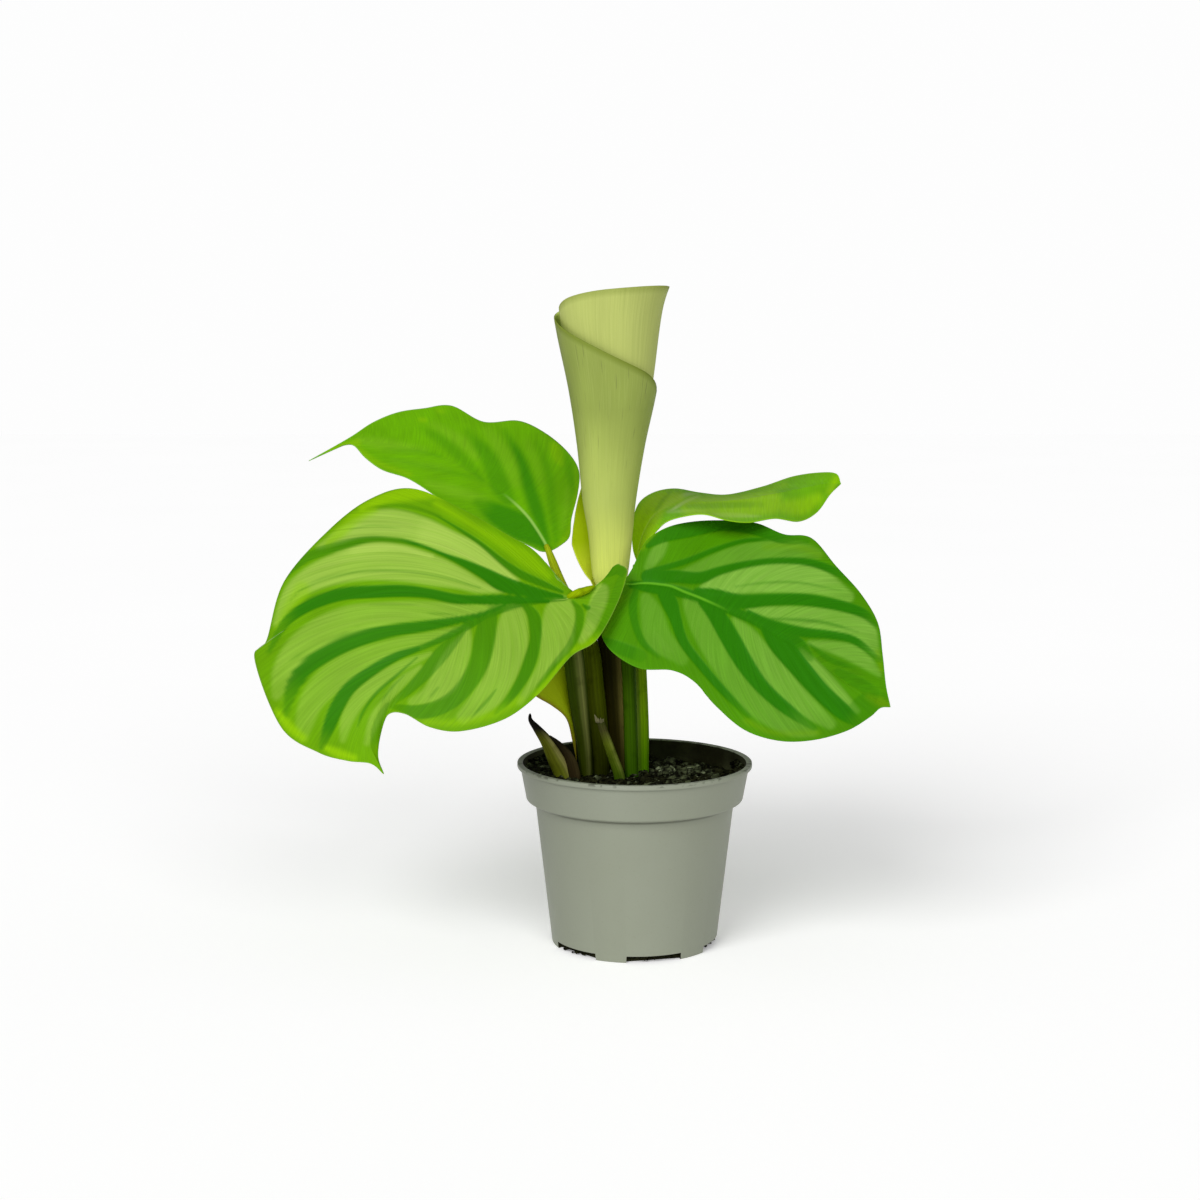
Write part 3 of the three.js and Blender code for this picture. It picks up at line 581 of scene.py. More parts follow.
# %% Front right leaf
front_right = {
    "side": -1, "soft": (1.3, 2.6, 4), "sweep": (0.3, 0.3),
    "bow": (-9, -0.15, 0.8, 0.0015, 0.002),
    "stations": [
        [(-6.5, 184.5), (-6.5, 184.5), (-6.5, 184.5)],
        [(-3.5, 184.5), (-1.5, 192.5, 3), (-12.5, 179.5)],
        [(-0.5, 184.5), (1.5, 199, 5), (-16.5, 170.5)],
        [(3, 185), (6.3, 207.3, 6), (-17, 159)],
        [(7.5, 185), (16.5, 213.6, 6), (-11, 149.5)],
        [(12.5, 184.5), (30, 216.5, 4), (2.5, 141.5)],
        [(18.5, 183.5), (46, 217, 1), (19, 140.5)],
        [(25.5, 180.5), (61.5, 215.5), (30.5, 134.5)],
        [(32, 178), (75, 210), (42, 121.5)],
        [(40, 174.5), (89, 208), (56.5, 109.5)],
        [(49.5, 170), (101.5, 194), (74, 104)],
        [(61.5, 164.5), (114.2, 180), (91.5, 104.4)],
        [(75, 156.5), (123.2, 165), (108.5, 109.2)],
        [(90.5, 146.5), (126, 148.5), (120, 116.2)],
        [(107, 134), (128, 132.5), (125.5, 121)],
        [(130.5, 121.5), (130.5, 121.5), (130.5, 121.5)],
    ],
}
print("front right leaf:", len(front_right["stations"]), "stations")

# %% Back left leaf
back_left = {
    "side": 1, "soft": (4.5, 4.5, 3), "sweep": (0.25, 0.08),
    "bow": (12, 0.2, 1.35, 0.0006, 0.001),
    "stations": [
        [(-43.5, 201), (-43.5, 201), (-43.5, 201)],
        [(-44.5, 203), (-37.5, 204.5), (-48, 201.5)],
        [(-45.5, 205.5), (-33, 209), (-52, 203.5)],
        [(-47.5, 209), (-32, 218), (-58.5, 206.5)],
        [(-50, 213), (-28.8, 231), (-67, 208.5)],
        [(-53.5, 218), (-28.3, 242), (-76.5, 213)],
        [(-58, 223), (-34, 251.5), (-85.5, 218.5)],
        [(-63.5, 228), (-45, 260.8), (-95, 225)],
        [(-70.5, 233.5), (-58.5, 267), (-105, 232.5)],
        [(-79.5, 240), (-76, 266.5), (-115, 238.5)],
        [(-90.5, 246.5), (-92, 274.5), (-127, 242.5)],
        [(-104, 251), (-106, 273.2), (-135.5, 248.5)],
        [(-119, 254.5), (-119, 271.2), (-141, 254.5)],
        [(-133, 256.5), (-131.5, 266.2), (-145.5, 255)],
        [(-146, 256), (-143.5, 258.5), (-150.5, 253)],
        [(-164, 247), (-164, 247), (-164, 247)],
    ],
}
print("back left leaf:", len(back_left["stations"]), "stations")

# %% [markdown]
# The back right leaf is seen nearly edge on, so each of its points has its own depth, given as
# a lift of the other sign.

# %% Back right leaf
back_right = {
    "side": -1, "soft": (1.8, 1.4, 5), "groove": 0.15, "sweep": (0.12, 0.12),
    "bow": (0, 0, 0, 0, 0),
    "stations": [
        [(1, 196, -16), (1, 196, -16), (1, 196, -16)],
        [(1.5, 200, -17), (-1, 202, -19), (3.5, 199, -15)],
        [(2.5, 205.5, -20), (-1.5, 210, -26), (5, 204.5, -14)],
        [(5.5, 213.5, -25), (-0.5, 220, -37), (9, 209.5, -11)],
        [(10.5, 220.5, -31), (3, 227, -52), (15.5, 216, -6)],
        [(18.5, 224.5, -37), (10.5, 231.5, -68), (24.5, 219, -2)],
        [(29.5, 226, -43), (20.5, 233, -84), (35, 220, 1)],
        [(42.5, 226.5, -50), (32.5, 231, -97), (46.5, 217, 2)],
        [(57, 228, -58), (46.5, 230, -106), (57.5, 216, -1)],
        [(71, 230.5, -65), (64, 234, -108.8), (70.5, 218, -12)],
        [(83.5, 233, -71), (79, 239, -105), (82.5, 216.5, -27)],
        [(93.5, 235, -75), (92, 241, -96), (91.5, 221, -45)],
        [(99.5, 235.5, -77), (101, 240.5, -86), (98, 230, -63)],
        [(103.5, 235.5, -77), (103.5, 235.5, -77), (103.5, 235.5, -77)],
    ],
}
print("back right leaf:", len(back_right["stations"]), "stations")

# %% [markdown]
# ### Stripes as brush strokes
# The stripes of each leaf are painted as strokes, dark over pale, as a painter would lay them.
# A stroke has a strength and a few marks, each with its across, up and half width in millimetres
# as the eye sees it, so that a stroke can swell and run out to a point like a real stripe. The
# tones stay on the mesh as attributes, where the material reads them.

# %% Strokes
def painted(seen, strokes, softness, end_fade):
    """How strongly the strokes cover each seen point, from 0 to 1."""
    total = np.zeros(len(seen))
    for strength, marks in strokes:
        steps = np.linspace(0, 1, 5 * len(marks))
        line = smooth_line(marks, steps)
        gaps = np.full(len(seen), 99.0)
        nearest = np.zeros(len(seen))
        for k in range(len(line) - 1):
            start, reach = line[k, :2], line[k + 1, :2] - line[k, :2]
            t = np.clip(((seen - start) @ reach) / max(reach @ reach, 1e-9), 0, 1)
            half = line[k, 2] + (line[k + 1, 2] - line[k, 2]) * t
            gap = np.hypot(*(seen - start - t[:, None] * reach).T) - half
            nearest = np.where(gap < gaps, (k + t) / (len(line) - 1), nearest)
            gaps = np.minimum(gaps, gap)
        fade = 1 - end_fade * eased(nearest, 0.8, 1.0)
        cover = eased(-gaps, -softness / 2, softness / 2) * fade
        total = np.maximum(total, strength * cover)
    return total


# %% Stripes of the front left leaf
front_left["dark"] = [
    (0.8, [(-36.9, 180.7, 0.8), (-48.1, 185.3, 1.8), (-58.2, 189.9, 2), (-68.2, 197, 1.5),
           (-78.3, 205.4, 1.1), (-88.3, 212.2, 0.8), (-98.4, 218.3, 0.5), (-104.4, 221.3, 0.4)]),
    (0.35, [(-98.4, 218.8, 0.8), (-109.4, 222.8, 0.9), (-121, 224.6, 0.9), (-134.6, 223.3, 0.5)]),
    (1, [(-37, 178.2, 1), (-48.1, 179.7, 2.6), (-65.8, 184.3, 4.1), (-75.9, 189.9, 3.1),
         (-86, 195, 2), (-96, 199.3, 1.1), (-106.1, 203.4, 0.9), (-116.2, 206.4, 1.1),
         (-123.7, 207.4, 1.3)]),
    (0.65, [(-117.7, 206.6, 1.1), (-131.3, 207.7, 1.5), (-143.9, 205.6, 2.2), (-156.6, 201.8, 2.6),
            (-166.8, 197.5, 2.3), (-175.5, 190.4, 1.8), (-180.8, 182.7, 1)]),
    (0.45, [(-78.5, 182.7, 0.4), (-98.7, 188.4, 0.5), (-118.9, 191.2, 0.6), (-139.1, 190.9, 0.6),
            (-156.9, 187.3, 0.6), (-169.6, 181.2, 0.5), (-174.8, 175.6, 0.4)]),
    (0.3, [(-143.8, 212.2, 0.3), (-133.7, 214.2, 0.5), (-118.6, 213.2, 0.3)]),
    (0.4, [(-89.7, 169.2, 0.2), (-98.9, 169.5, 0.4), (-104.9, 169.7, 0.3)]),
    (0.25, [(-134.3, 174.1, 0.3), (-119.1, 174.1, 0.4), (-108.9, 174.3, 0.3)]),
    (0.25, [(-175.4, 145.9, 0.4), (-160, 153.6, 0.5), (-139.5, 163.3, 0.3)]),
    (1, [(-44.1, 176.1, 1.3), (-65.8, 176.6, 2.6), (-81, 176.6, 2.3), (-91.2, 177.1, 2.6),
         (-103.8, 179.7, 2.6), (-116.5, 181, 3.1), (-131.7, 180.7, 3.3), (-146.9, 179.7, 3.3),
         (-159.6, 176.1, 3.2), (-169.8, 171, 2.8), (-178.1, 163.8, 2.3), (-186, 150, 1)]),
    (0.95, [(-65.9, 173.6, 1), (-78.6, 168.7, 1.5), (-91.3, 165.9, 2), (-106.5, 163.1, 2.8),
            (-121.8, 161, 3.2), (-137.1, 157.4, 3.8), (-152.4, 151.5, 4.1), (-166.3, 142.2, 4.1),
            (-174.1, 131.9, 3.6), (-178, 117.4, 1.3)]),
    (0.8, [(-35.4, 177.1, 1), (-48.1, 176.1, 1.5), (-63.3, 173.6, 2.3), (-76, 168.4, 2.3),
           (-91.3, 159.7, 2), (-106.6, 152.8, 1.5), (-122, 147.4, 2.3)]),
    (0.95, [(-110.2, 151.5, 1.5), (-121.5, 147.4, 2.3), (-133.8, 140.2, 2.8), (-145.1, 131.4, 3.3),
            (-151.9, 121.1, 3.6), (-156.2, 110.7, 3.1), (-159.9, 100.8, 1.5)]),
    (0.6, [(-86.8, 160.2, 1), (-93.9, 153.6, 3.1), (-99.1, 147.9, 3.8), (-106.8, 138.6, 3.2),
           (-115.6, 129.9, 2.3), (-124.8, 122.6, 1.3)]),
    (0.6, [(-71.4, 172.5, 2), (-74.5, 165.4, 4.6), (-76.4, 156.1, 5.4), (-78.7, 145.9, 5.1),
           (-83.4, 136.1, 4.6), (-91.1, 126.8, 4.3), (-100.4, 121.1, 4.1), (-110.6, 119, 3.6),
           (-119.8, 121.1, 1.8), (-125.9, 122.1, 1)]),
    (0.7, [(-57.2, 175.1, 1.3), (-52.7, 170.5, 2.6), (-50.7, 165.4, 3.3), (-50.5, 156.1, 2.9),
           (-53.1, 145.9, 3.3), (-56.9, 136.6, 2.8), (-63.6, 126.2, 2), (-70.8, 118.5, 1)]),
    (0.55, [(-31.4, 175.6, 0.8), (-28.1, 170.5, 2), (-28.9, 162.3, 2.3), (-32.9, 153.1, 2),
            (-40.6, 143.8, 1.5), (-49.3, 132.4, 1)]),
    (0.8, [(-26.3, 174.1, 0.5), (-23.8, 172.3, 1.3), (-22.8, 173.6, 0.5)]),
    (0.65, [(-15, 188.5, 1), (-12, 191, 2.6), (-9, 192.5, 3.2), (-6, 191, 3.2), (-4.5, 189, 2)]),
    (0.5, [(-7.5, 187, 2), (-9, 182, 2.4), (-12, 172, 2.6), (-16, 163.5, 2.3), (-20, 158, 1.5)]),
    (0.36, [(-12, 187, 4), (-13.1, 181.7, 4.4), (-16.7, 175.6, 5), (-20.2, 169, 4),
            (-22.8, 162.8, 3)]),
    (0.5, [(-70.7, 130.4, 0.4), (-75.3, 124.7, 0.9), (-83.1, 116.4, 0.5)]),
    (0.35, [(-100.3, 131.4, 0.6), (-104.4, 126.8, 0.6)]),
    (0.65, [(-110.8, 146.9, 0.4), (-122.1, 137.1, 0.8), (-131.9, 128.3, 0.9), (-138.7, 118.5, 0.8),
            (-141.3, 111.7, 0.5)]),
    (0.4, [(-117.5, 137.6, 0.3), (-123.7, 131.4, 0.6), (-128.4, 125.2, 0.5)]),
    (0.4, [(-125.9, 123.1, 1), (-129.5, 116.9, 2), (-132.2, 109.1, 2.3), (-133.8, 100.3, 1.3)]),
]
front_left["pale"] = [
    (0.9, [(-59.7, 186.3, 1), (-68.3, 191.9, 2.3), (-75.8, 197, 3.8), (-83.4, 201.6, 4.9),
           (-93.4, 205.6, 5.9), (-106, 211.2, 6.6), (-114.5, 213.7, 6.9)]),
    (0.72, [(-102.5, 210.2, 6.1), (-116.1, 214.5, 6.9), (-127.6, 215.5, 6.9), (-138.8, 213.2, 5.1),
            (-148.9, 208.7, 3.3), (-159.1, 203.6, 1.3)]),
    (0.64, [(-67.3, 181.2, 0.8), (-78.5, 183.3, 3.1), (-88.6, 187.3, 5.1), (-101.2, 191.2, 7.4),
            (-116.3, 194.5, 8.4), (-134, 195.5, 8.7), (-149.2, 192.9, 7.7), (-163.5, 187.3, 6.1),
            (-173.7, 179.7, 4.3), (-182.6, 165.4, 2)]),
    (0.95, [(-102.6, 198.5, 1.3), (-118.7, 202.6, 2), (-133.9, 202.6, 2.6), (-150.1, 199.5, 1.5)]),
    (0.36, [(-62.3, 174.6, 0.8), (-76, 172, 2.6), (-91.2, 171, 3.8), (-109, 171, 4.9),
            (-126.8, 169.5, 5.9), (-144.6, 165.9, 7.7), (-160.9, 158.2, 8.2), (-172.3, 148.4, 7.4),
            (-179.1, 138.1, 5.4), (-182.4, 127.8, 2.6)]),
    (0.27, [(-86.7, 162.8, 0.5), (-99, 159.2, 2), (-114.2, 155.1, 3.6), (-129.6, 150, 5.1),
            (-142.9, 144.3, 6.6), (-155.2, 135.5, 7.4), (-164.1, 125.2, 6.1), (-168.4, 113.8, 4.6),
            (-169.5, 106.5, 2.6)]),
    (0.33, [(-104.1, 148.9, 1), (-119.5, 142.2, 2.8), (-131.8, 134, 3.8), (-141.6, 124.7, 4.1),
            (-146.9, 114.8, 3.3), (-149.1, 104.5, 1.5)]),
    (0.33, [(-109.3, 142.2, 1), (-119.6, 133.5, 2.6), (-126.3, 125.2, 2), (-132.6, 115.4, 2.8),
            (-136.9, 102.9, 1.5)]),
    (0.4, [(-84.7, 161.8, 1), (-86.3, 156.1, 3.3), (-89.9, 148.9, 6.1), (-94.1, 140.2, 7.4),
           (-97.7, 134, 6.9), (-104.4, 127.8, 4.3), (-113.6, 124.2, 2)]),
    (0.42, [(-60.8, 173.6, 1.5), (-61.3, 169, 5.6), (-61.9, 162.3, 7.7), (-62.9, 153.6, 8.4),
            (-65.5, 144.8, 7.9), (-69.7, 135, 7.4), (-75.8, 126.2, 6.9), (-87.1, 116.4, 3.6)]),
    (0.42, [(-36.5, 175.6, 3.1), (-38, 170.5, 7.4), (-38.8, 162.3, 8.4), (-40.1, 154.6, 7.7),
            (-44.2, 146.4, 4.3), (-49.3, 137.6, 2.6), (-58.5, 124.2, 1.5)]),
    (0.6, [(-16.6, 181.5, 3.2), (-18, 177, 4), (-20.4, 170, 3.7), (-22.8, 162.8, 2.8),
           (-26.8, 155.6, 1.8)]),
]
front_left["yellow"] = [
    (0.9, [(-137.6, 222.8, 2), (-126, 227.9, 2.8), (-113.3, 230.4, 3.6), (-103.3, 230.9, 3.1),
           (-96.2, 228.9, 1.5)]),
    (0.7, [(-131.6, 222.3, 2), (-141.2, 217.8, 2.8), (-148.9, 210.7, 2.8), (-155, 205.1, 1.8)]),
    (0.6, [(-44, 188.9, 1.5), (-54.1, 197, 3.8), (-65.7, 204.6, 2.6), (-78.2, 212.2, 1.8),
           (-90.8, 219.8, 1.8), (-99.8, 225.4, 2)]),
    (0.9, [(-182.1, 119, 1.3), (-176.6, 111.7, 2.3), (-169.5, 105.5, 1.8)]),
    (0.95, [(-157.9, 100.3, 1.3), (-151.8, 97.7, 2.3), (-143.6, 95.1, 1.5)]),
    (0.5, [(-107.1, 113.8, 1.5), (-91.8, 113.3, 1.8), (-76.4, 116.4, 2), (-58.5, 125.2, 1.8)]),
    (0.6, [(-17.7, 158.2, 1.5), (-23.8, 154.1, 2), (-31.9, 150.5, 1.5)]),
    (1, [(-35, 147.9, 0.4), (-40.1, 140.2, 0.5), (-44.7, 134, 0.8), (-50.3, 127.3, 1)]),
    (0.5, [(-168.6, 181.7, 4.1), (-174.9, 171.5, 3.6), (-180.2, 162.3, 2.3)]),
]
print("front left leaf:", len(front_left["dark"]), "dark strokes")

# %% Stripes of the front right leaf
front_right["dark"] = [
    (0.85, [(6.5, 204.1, 1.3), (15.1, 209.2, 3.3), (27.7, 212.7, 4.3), (42.8, 215.3, 3.8),
            (58, 213.2, 3.1), (73.2, 208.2, 2.8), (86.3, 206.6, 2)]),
    (0.9, [(7.6, 190.9, 1.5), (25.3, 196, 1.5), (40.4, 202.1, 1.3), (55.5, 206.6, 1.1),
           (73.2, 207.7, 1)]),
    (0.95, [(6.6, 188.4, 3.6), (20.3, 188.4, 3.3), (32.9, 187.8, 3.1), (43, 191.4, 2.2),
            (58.1, 195, 1.8), (73.3, 196.5, 1.7), (88.5, 195.5, 1.9), (102.7, 190.4, 2),
            (109.9, 184.8, 1.5)]),
    (0.45, [(50.7, 183.3, 0.3), (65.8, 185.3, 0.6), (83.5, 185.3, 0.6), (104.9, 181.2, 0.3)]),
    (1, [(31.9, 180.2, 2.6), (40.6, 178.7, 3.6), (53.3, 175.6, 3.8), (68.4, 176.6, 3.1),
         (86.2, 176.6, 3.1), (104, 173.6, 2.8), (116.2, 169.5, 2.3), (121.9, 163.8, 1.3)]),
    (0.55, [(59.4, 166.9, 0.3), (78.7, 166.6, 0.8), (96.5, 164.9, 0.9), (113.3, 160.2, 0.5)]),
    (1, [(57.4, 170, 1.5), (68.6, 164.3, 2.3), (83.9, 160.2, 2.6), (99.1, 158.7, 2.2),
         (111.9, 155.6, 2), (124.2, 145.9, 1.3)]),
    (0.95, [(-1.5, 184.3, 2), (10.2, 182.7, 3.1), (27.9, 179.2, 2.6), (45.7, 172.5, 2.6),
            (61, 165.9, 2.6), (73.7, 159.2, 3.6), (82.9, 153.6, 3.6), (89.1, 146.9, 2)]),
    (0.65, [(0.5, 181.7, 1.5), (-1, 173.6, 2.2), (0.1, 164.3, 1.9), (4.2, 154.6, 1.7),
            (11.8, 147.4, 1)]),
    (0.55, [(-15.7, 156.1, 1.3), (-9.1, 152.5, 3.1), (2.6, 147.9, 3.3)]),
    (0.95, [(12.7, 182.7, 2.6), (17.3, 175.6, 4.1), (20.4, 167.4, 3.1), (25, 154.6, 2.4),
            (35.2, 141.2, 2.2), (46, 128.8, 2), (57.9, 116.9, 1.3)]),
    (1, [(34.5, 175.6, 2.6), (41.1, 169, 4.3), (48.9, 156.1, 4.9), (56.1, 143.8, 4.6),
         (65.4, 131.4, 3.7), (78.2, 120, 3.1), (91.6, 110.7, 1.5)]),
    (1, [(67.1, 161.3, 3.1), (73.8, 154.1, 5.6), (84.1, 141.7, 5.2), (95, 129.3, 4.7),
         (106.3, 119, 4.3), (114.1, 113.3, 2.3)]),
    (0.5, [(89, 153.6, 0.8), (99.3, 145.9, 1.5), (111.6, 141.7, 1)]),
    (0.35, [(103.5, 139.7, 2), (113.7, 134, 3.1), (122, 129.3, 2.6)]),
    (0.4, [(112, 118, 5), (119, 122, 7), (125, 124, 5)]),
]
front_right["pale"] = [
    (0.5, [(14.6, 205.1, 2), (11.1, 200.1, 3.3), (6.6, 193.4, 1.8)]),
    (0.36, [(20.8, 188.4, 1.3), (32.9, 193.2, 2.8), (48, 199, 4), (65.7, 201.8, 5.1),
            (80.8, 202.1, 4.6), (91.9, 200.1, 2.6)]),
    (0.92, [(34.5, 182.7, 1.5), (40.5, 183.8, 4.6), (50.6, 185.8, 6.1), (65.8, 187.8, 7.4),
            (82, 187.8, 7.7), (94.7, 185.3, 6.1), (108, 178.2, 2.8)]),
    (0.75, [(57.3, 172, 1), (71.1, 170, 3.3), (86.3, 167.9, 5.4), (104.1, 164.9, 6.1),
            (117.4, 158.7, 6.1), (125.2, 147.4, 2)]),
    (0.6, [(89, 154.6, 1), (102.3, 152, 3.3), (113.5, 147.9, 4.3), (124.4, 138.6, 1.5)]),
    (0.7, [(84.5, 151, 1), (91.7, 142.8, 2.4), (102.1, 130.9, 2.9), (113.5, 119.5, 1.3)]),
    (0.55, [(50.3, 166.9, 1), (57, 159.2, 3.8), (65.2, 146.9, 5.9), (75.5, 134.5, 6.1),
            (87.4, 122.1, 5.4), (99.8, 112.8, 2.8)]),
    (0.36, [(25.9, 178.2, 1.5), (29.5, 173, 4.6), (35.1, 162.3, 6.4), (43.3, 148.4, 6.9),
            (53.1, 135, 6.9), (66, 121.6, 7.4), (80.9, 112.3, 5.9), (90.7, 108.1, 2.6)]),
    (0.3, [(5.6, 177.6, 2.6), (8.7, 169, 5.6), (12.3, 157.2, 6.4), (24, 146.4, 3.3)]),
    (0.35, [(10.2, 160.2, 1.5), (13.8, 154.6, 2.6), (19.9, 148.4, 2)]),
]
front_right["yellow"] = [
    (0.5, [(56.9, 114.3, 1.3), (71.7, 108.1, 1.3), (93.2, 108.1, 1.3)]),
    (0.85, [(119, 126.8, 1.3), (125.6, 123.7, 2.6), (129.8, 122.1, 1.5)]),
    (0.7, [(123.1, 150, 0.8), (125.3, 140.7, 0.8)]),
    (0.4, [(-16.2, 160.2, 1.8), (-12.6, 170.5, 2.3), (-7.6, 177.6, 2)]),
    (0.4, [(65.6, 203.6, 1.3), (80.8, 204.1, 2), (93.5, 199.5, 1.5)]),
    # Painted highlight: this thin light line along the upper left margin is laid with the warm
    # yellow.
    (1, [(3.5, 202.6, 0.4), (6.5, 205.6, 0.6), (10.6, 210.2, 0.4)]),
]
print("front right leaf:", len(front_right["dark"]), "dark strokes")

# %% Stripes of the back left leaf
back_left["dark"] = [
    (0.85, [(-44, 202.6, 1.3), (-49, 207.7, 4.1), (-58.1, 213.7, 6.9), (-68.1, 219.3, 5.9),
            (-79.1, 225.9, 2.3)]),
    (0.8, [(-44.5, 207.2, 1.5), (-48.9, 219.8, 3.3), (-52.9, 232.4, 3.3), (-57.4, 247.5, 2.3),
           (-65.3, 261.5, 1)]),
    (0.5, [(-64, 227.4, 3.6), (-68.5, 235.9, 4.9), (-73.4, 248, 4.1), (-83.9, 261.5, 1.5)]),
    (0.35, [(-39.9, 207.2, 1.5), (-41.9, 224.9, 2), (-43.3, 240, 2), (-48.8, 256, 1.5)]),
    (0.35, [(-30.3, 231.4, 1), (-32.8, 242.5, 2.6), (-36.3, 252.5, 1.8)]),
    (0.35, [(-77, 237.5, 1.5), (-86, 247, 2.8), (-96.5, 257, 2.6), (-106.9, 263, 1.3)]),
    (0.3, [(-78, 238, 0.8), (-98.1, 242.5, 1.1), (-125.7, 248.5, 0.8)]),
    (0.3, [(-98, 249.5, 0.8), (-108.1, 251.5, 1.3), (-125.6, 252.5, 0.8)]),
]
back_left["pale"] = [
    (0.45, [(-60, 235.9, 2.6), (-63.9, 246.5, 3.8), (-73.9, 262, 2.3)]),
    (0.3, [(-47.4, 236.4, 1.5), (-50.8, 247.5, 2.3), (-54.8, 256.5, 1.5)]),
    (0.5, [(-80, 249, 1.8), (-86.9, 256, 2.8), (-101.4, 265, 1.8)]),
    (0.6, [(-138.1, 257, 1.8), (-125.6, 255, 2.8), (-105.5, 252, 1.3)]),
    (0.6, [(-104.2, 235.4, 1.5), (-92.2, 231.9, 2.8), (-75.1, 227.4, 1.3)]),
    (0.4, [(-121.7, 247, 0.8), (-108.1, 245, 1.1), (-94.1, 242.5, 1)]),
    (0.45, [(-36.4, 213.2, 1), (-34.8, 223.3, 1.8), (-34.3, 232.4, 1)]),
]
back_left["yellow"] = [
    (0.8, [(-107.4, 267.5, 0.9), (-105.4, 267.3, 0.9)]),
    (0.5, [(-98.8, 272, 0.8), (-96.3, 271.5, 0.8)]),
    (0.6, [(-40.8, 254.5, 2), (-38.8, 249.5, 3.1), (-36.8, 245.5, 1.3)]),
    (0.8, [(-139.6, 256, 1.8), (-147.2, 254.5, 1.1), (-155.2, 252, 0.8)]),
    (0.6, [(-138.2, 252.5, 1.3), (-130.2, 246, 1.5), (-113.2, 240, 1)]),
    (0.5, [(-30.3, 242.5, 0.8), (-29.8, 227.4, 1.3), (-32.8, 212.2, 1.5), (-37.9, 204.6, 1.3)]),
]
print("back left leaf:", len(back_left["dark"]), "dark strokes")

# %% Stripes of the back right leaf
back_right["dark"] = [
    (0.35, [(17.5, 230.9, 0.8), (13.5, 226.4, 1), (10, 220.8, 0.8)]),
    (0.35, [(26.6, 223.8, 1), (42.7, 224.4, 1.5), (63.9, 224.9, 1.3)]),
    (0.3, [(32.6, 230.9, 0.5), (52.8, 230.9, 0.8), (72.8, 235.4, 0.8)]),
    (0.8, [(102.5, 233.9, 1), (101.1, 232.4, 0.8)]),
]
back_right["pale"] = [
    # Painted sheen: the next two pale strokes run across the fold, partly silver stripe and partly
    # the sheen where the blade bends.
    (0.5, [(34.6, 231.4, 0.5), (25.6, 229.9, 1.0), (17.6, 225.9, 1.1), (11.5, 221.8, 0.6)]),
    (0.8, [(31.6, 228.9, 0.4), (24.6, 225.9, 0.8), (18.1, 221.8, 0.6)]),
    (0.12, [(27.6, 227.9, 0.5), (40.2, 227.6, 0.7), (70.4, 228.4, 0.5)]),
    (0.4, [(34.7, 219.3, 0.6), (47.8, 219.6, 1.2), (63, 218.8, 0.6)]),
    (0.3, [(16.6, 221.3, 0.8), (27.7, 221.6, 0.8), (35.2, 221.3, 0.5)]),
]
back_right["yellow"] = [
    (0.85, [(2, 198, 4), (3.5, 208, 6), (6, 218, 6.5), (12, 226, 5), (22, 228, 3)]),
    (0.6, [(28, 224, 5), (48, 224, 6), (68, 226, 6)]),
    (0.5, [(73, 223.8, 3.1), (83.1, 223.8, 4.1), (91.6, 227.9, 2.6)]),
    (0.4, [(55.3, 230.9, 1), (65.3, 232.9, 1.3), (75.4, 234.9, 1)]),
    (0.6, [(101, 237.5, 1.5), (98.1, 231.4, 1.3)]),
]
print("back right leaf:", len(back_right["dark"]), "dark strokes")

# %% [markdown]
# ### From the net to a blade
# The grid is moved into place, its doubled points at the joint and at the tip are merged, and
# the side that faces up is made the outer one. The surface rises a little between the dark
# veins and dips along the midrib, as the real one does, and a Solidify modifier gives the sheet
# its thickness, with the paler underside as its second material.

# %% Grids with a map
def grid_with_map(columns, rows):
    """A grid whose map, and each point's place in it, run from 0 to 1."""
    bm = bmesh.new()
    bmesh.ops.create_grid(bm, x_segments=columns, y_segments=rows, size=0.5)
    layer = bm.loops.layers.uv.new("along_and_out")
    for face in bm.faces:
        for loop in face.loops:
            loop[layer].uv = (loop.vert.co.x + 0.5, loop.vert.co.y + 0.5)
    bm.verts.ensure_lookup_table()
    place = np.array([vertex.co[:2] for vertex in bm.verts]) + 0.5
    return bm, place


def move_points(bm, points):
    for vertex, point in zip(bm.verts, points):
        vertex.co = point * MM


def store(bm, name, values):
    layer = bm.verts.layers.float.new(name)
    for vertex, value in zip(bm.verts, values):
        vertex[layer] = value


def face_towards(bm, goal):
    """Turns the faces so that most of the sheet faces the goal, in millimetres."""
    goal = Vector(goal) * MM
    vote = sum(face.calc_area() * face.normal.dot((goal - face.calc_center_median()).normalized())
               for face in bm.faces)
    if vote < 0:
        bmesh.ops.reverse_faces(bm, faces=bm.faces)


# %% Blades
BLADE_THICKNESS = 0.45
PALE_RISE, DARK_DIP = 0.45, 0.4
PUCKER_HEIGHT = 0.05
GROOVE_WIDTH = 1.3


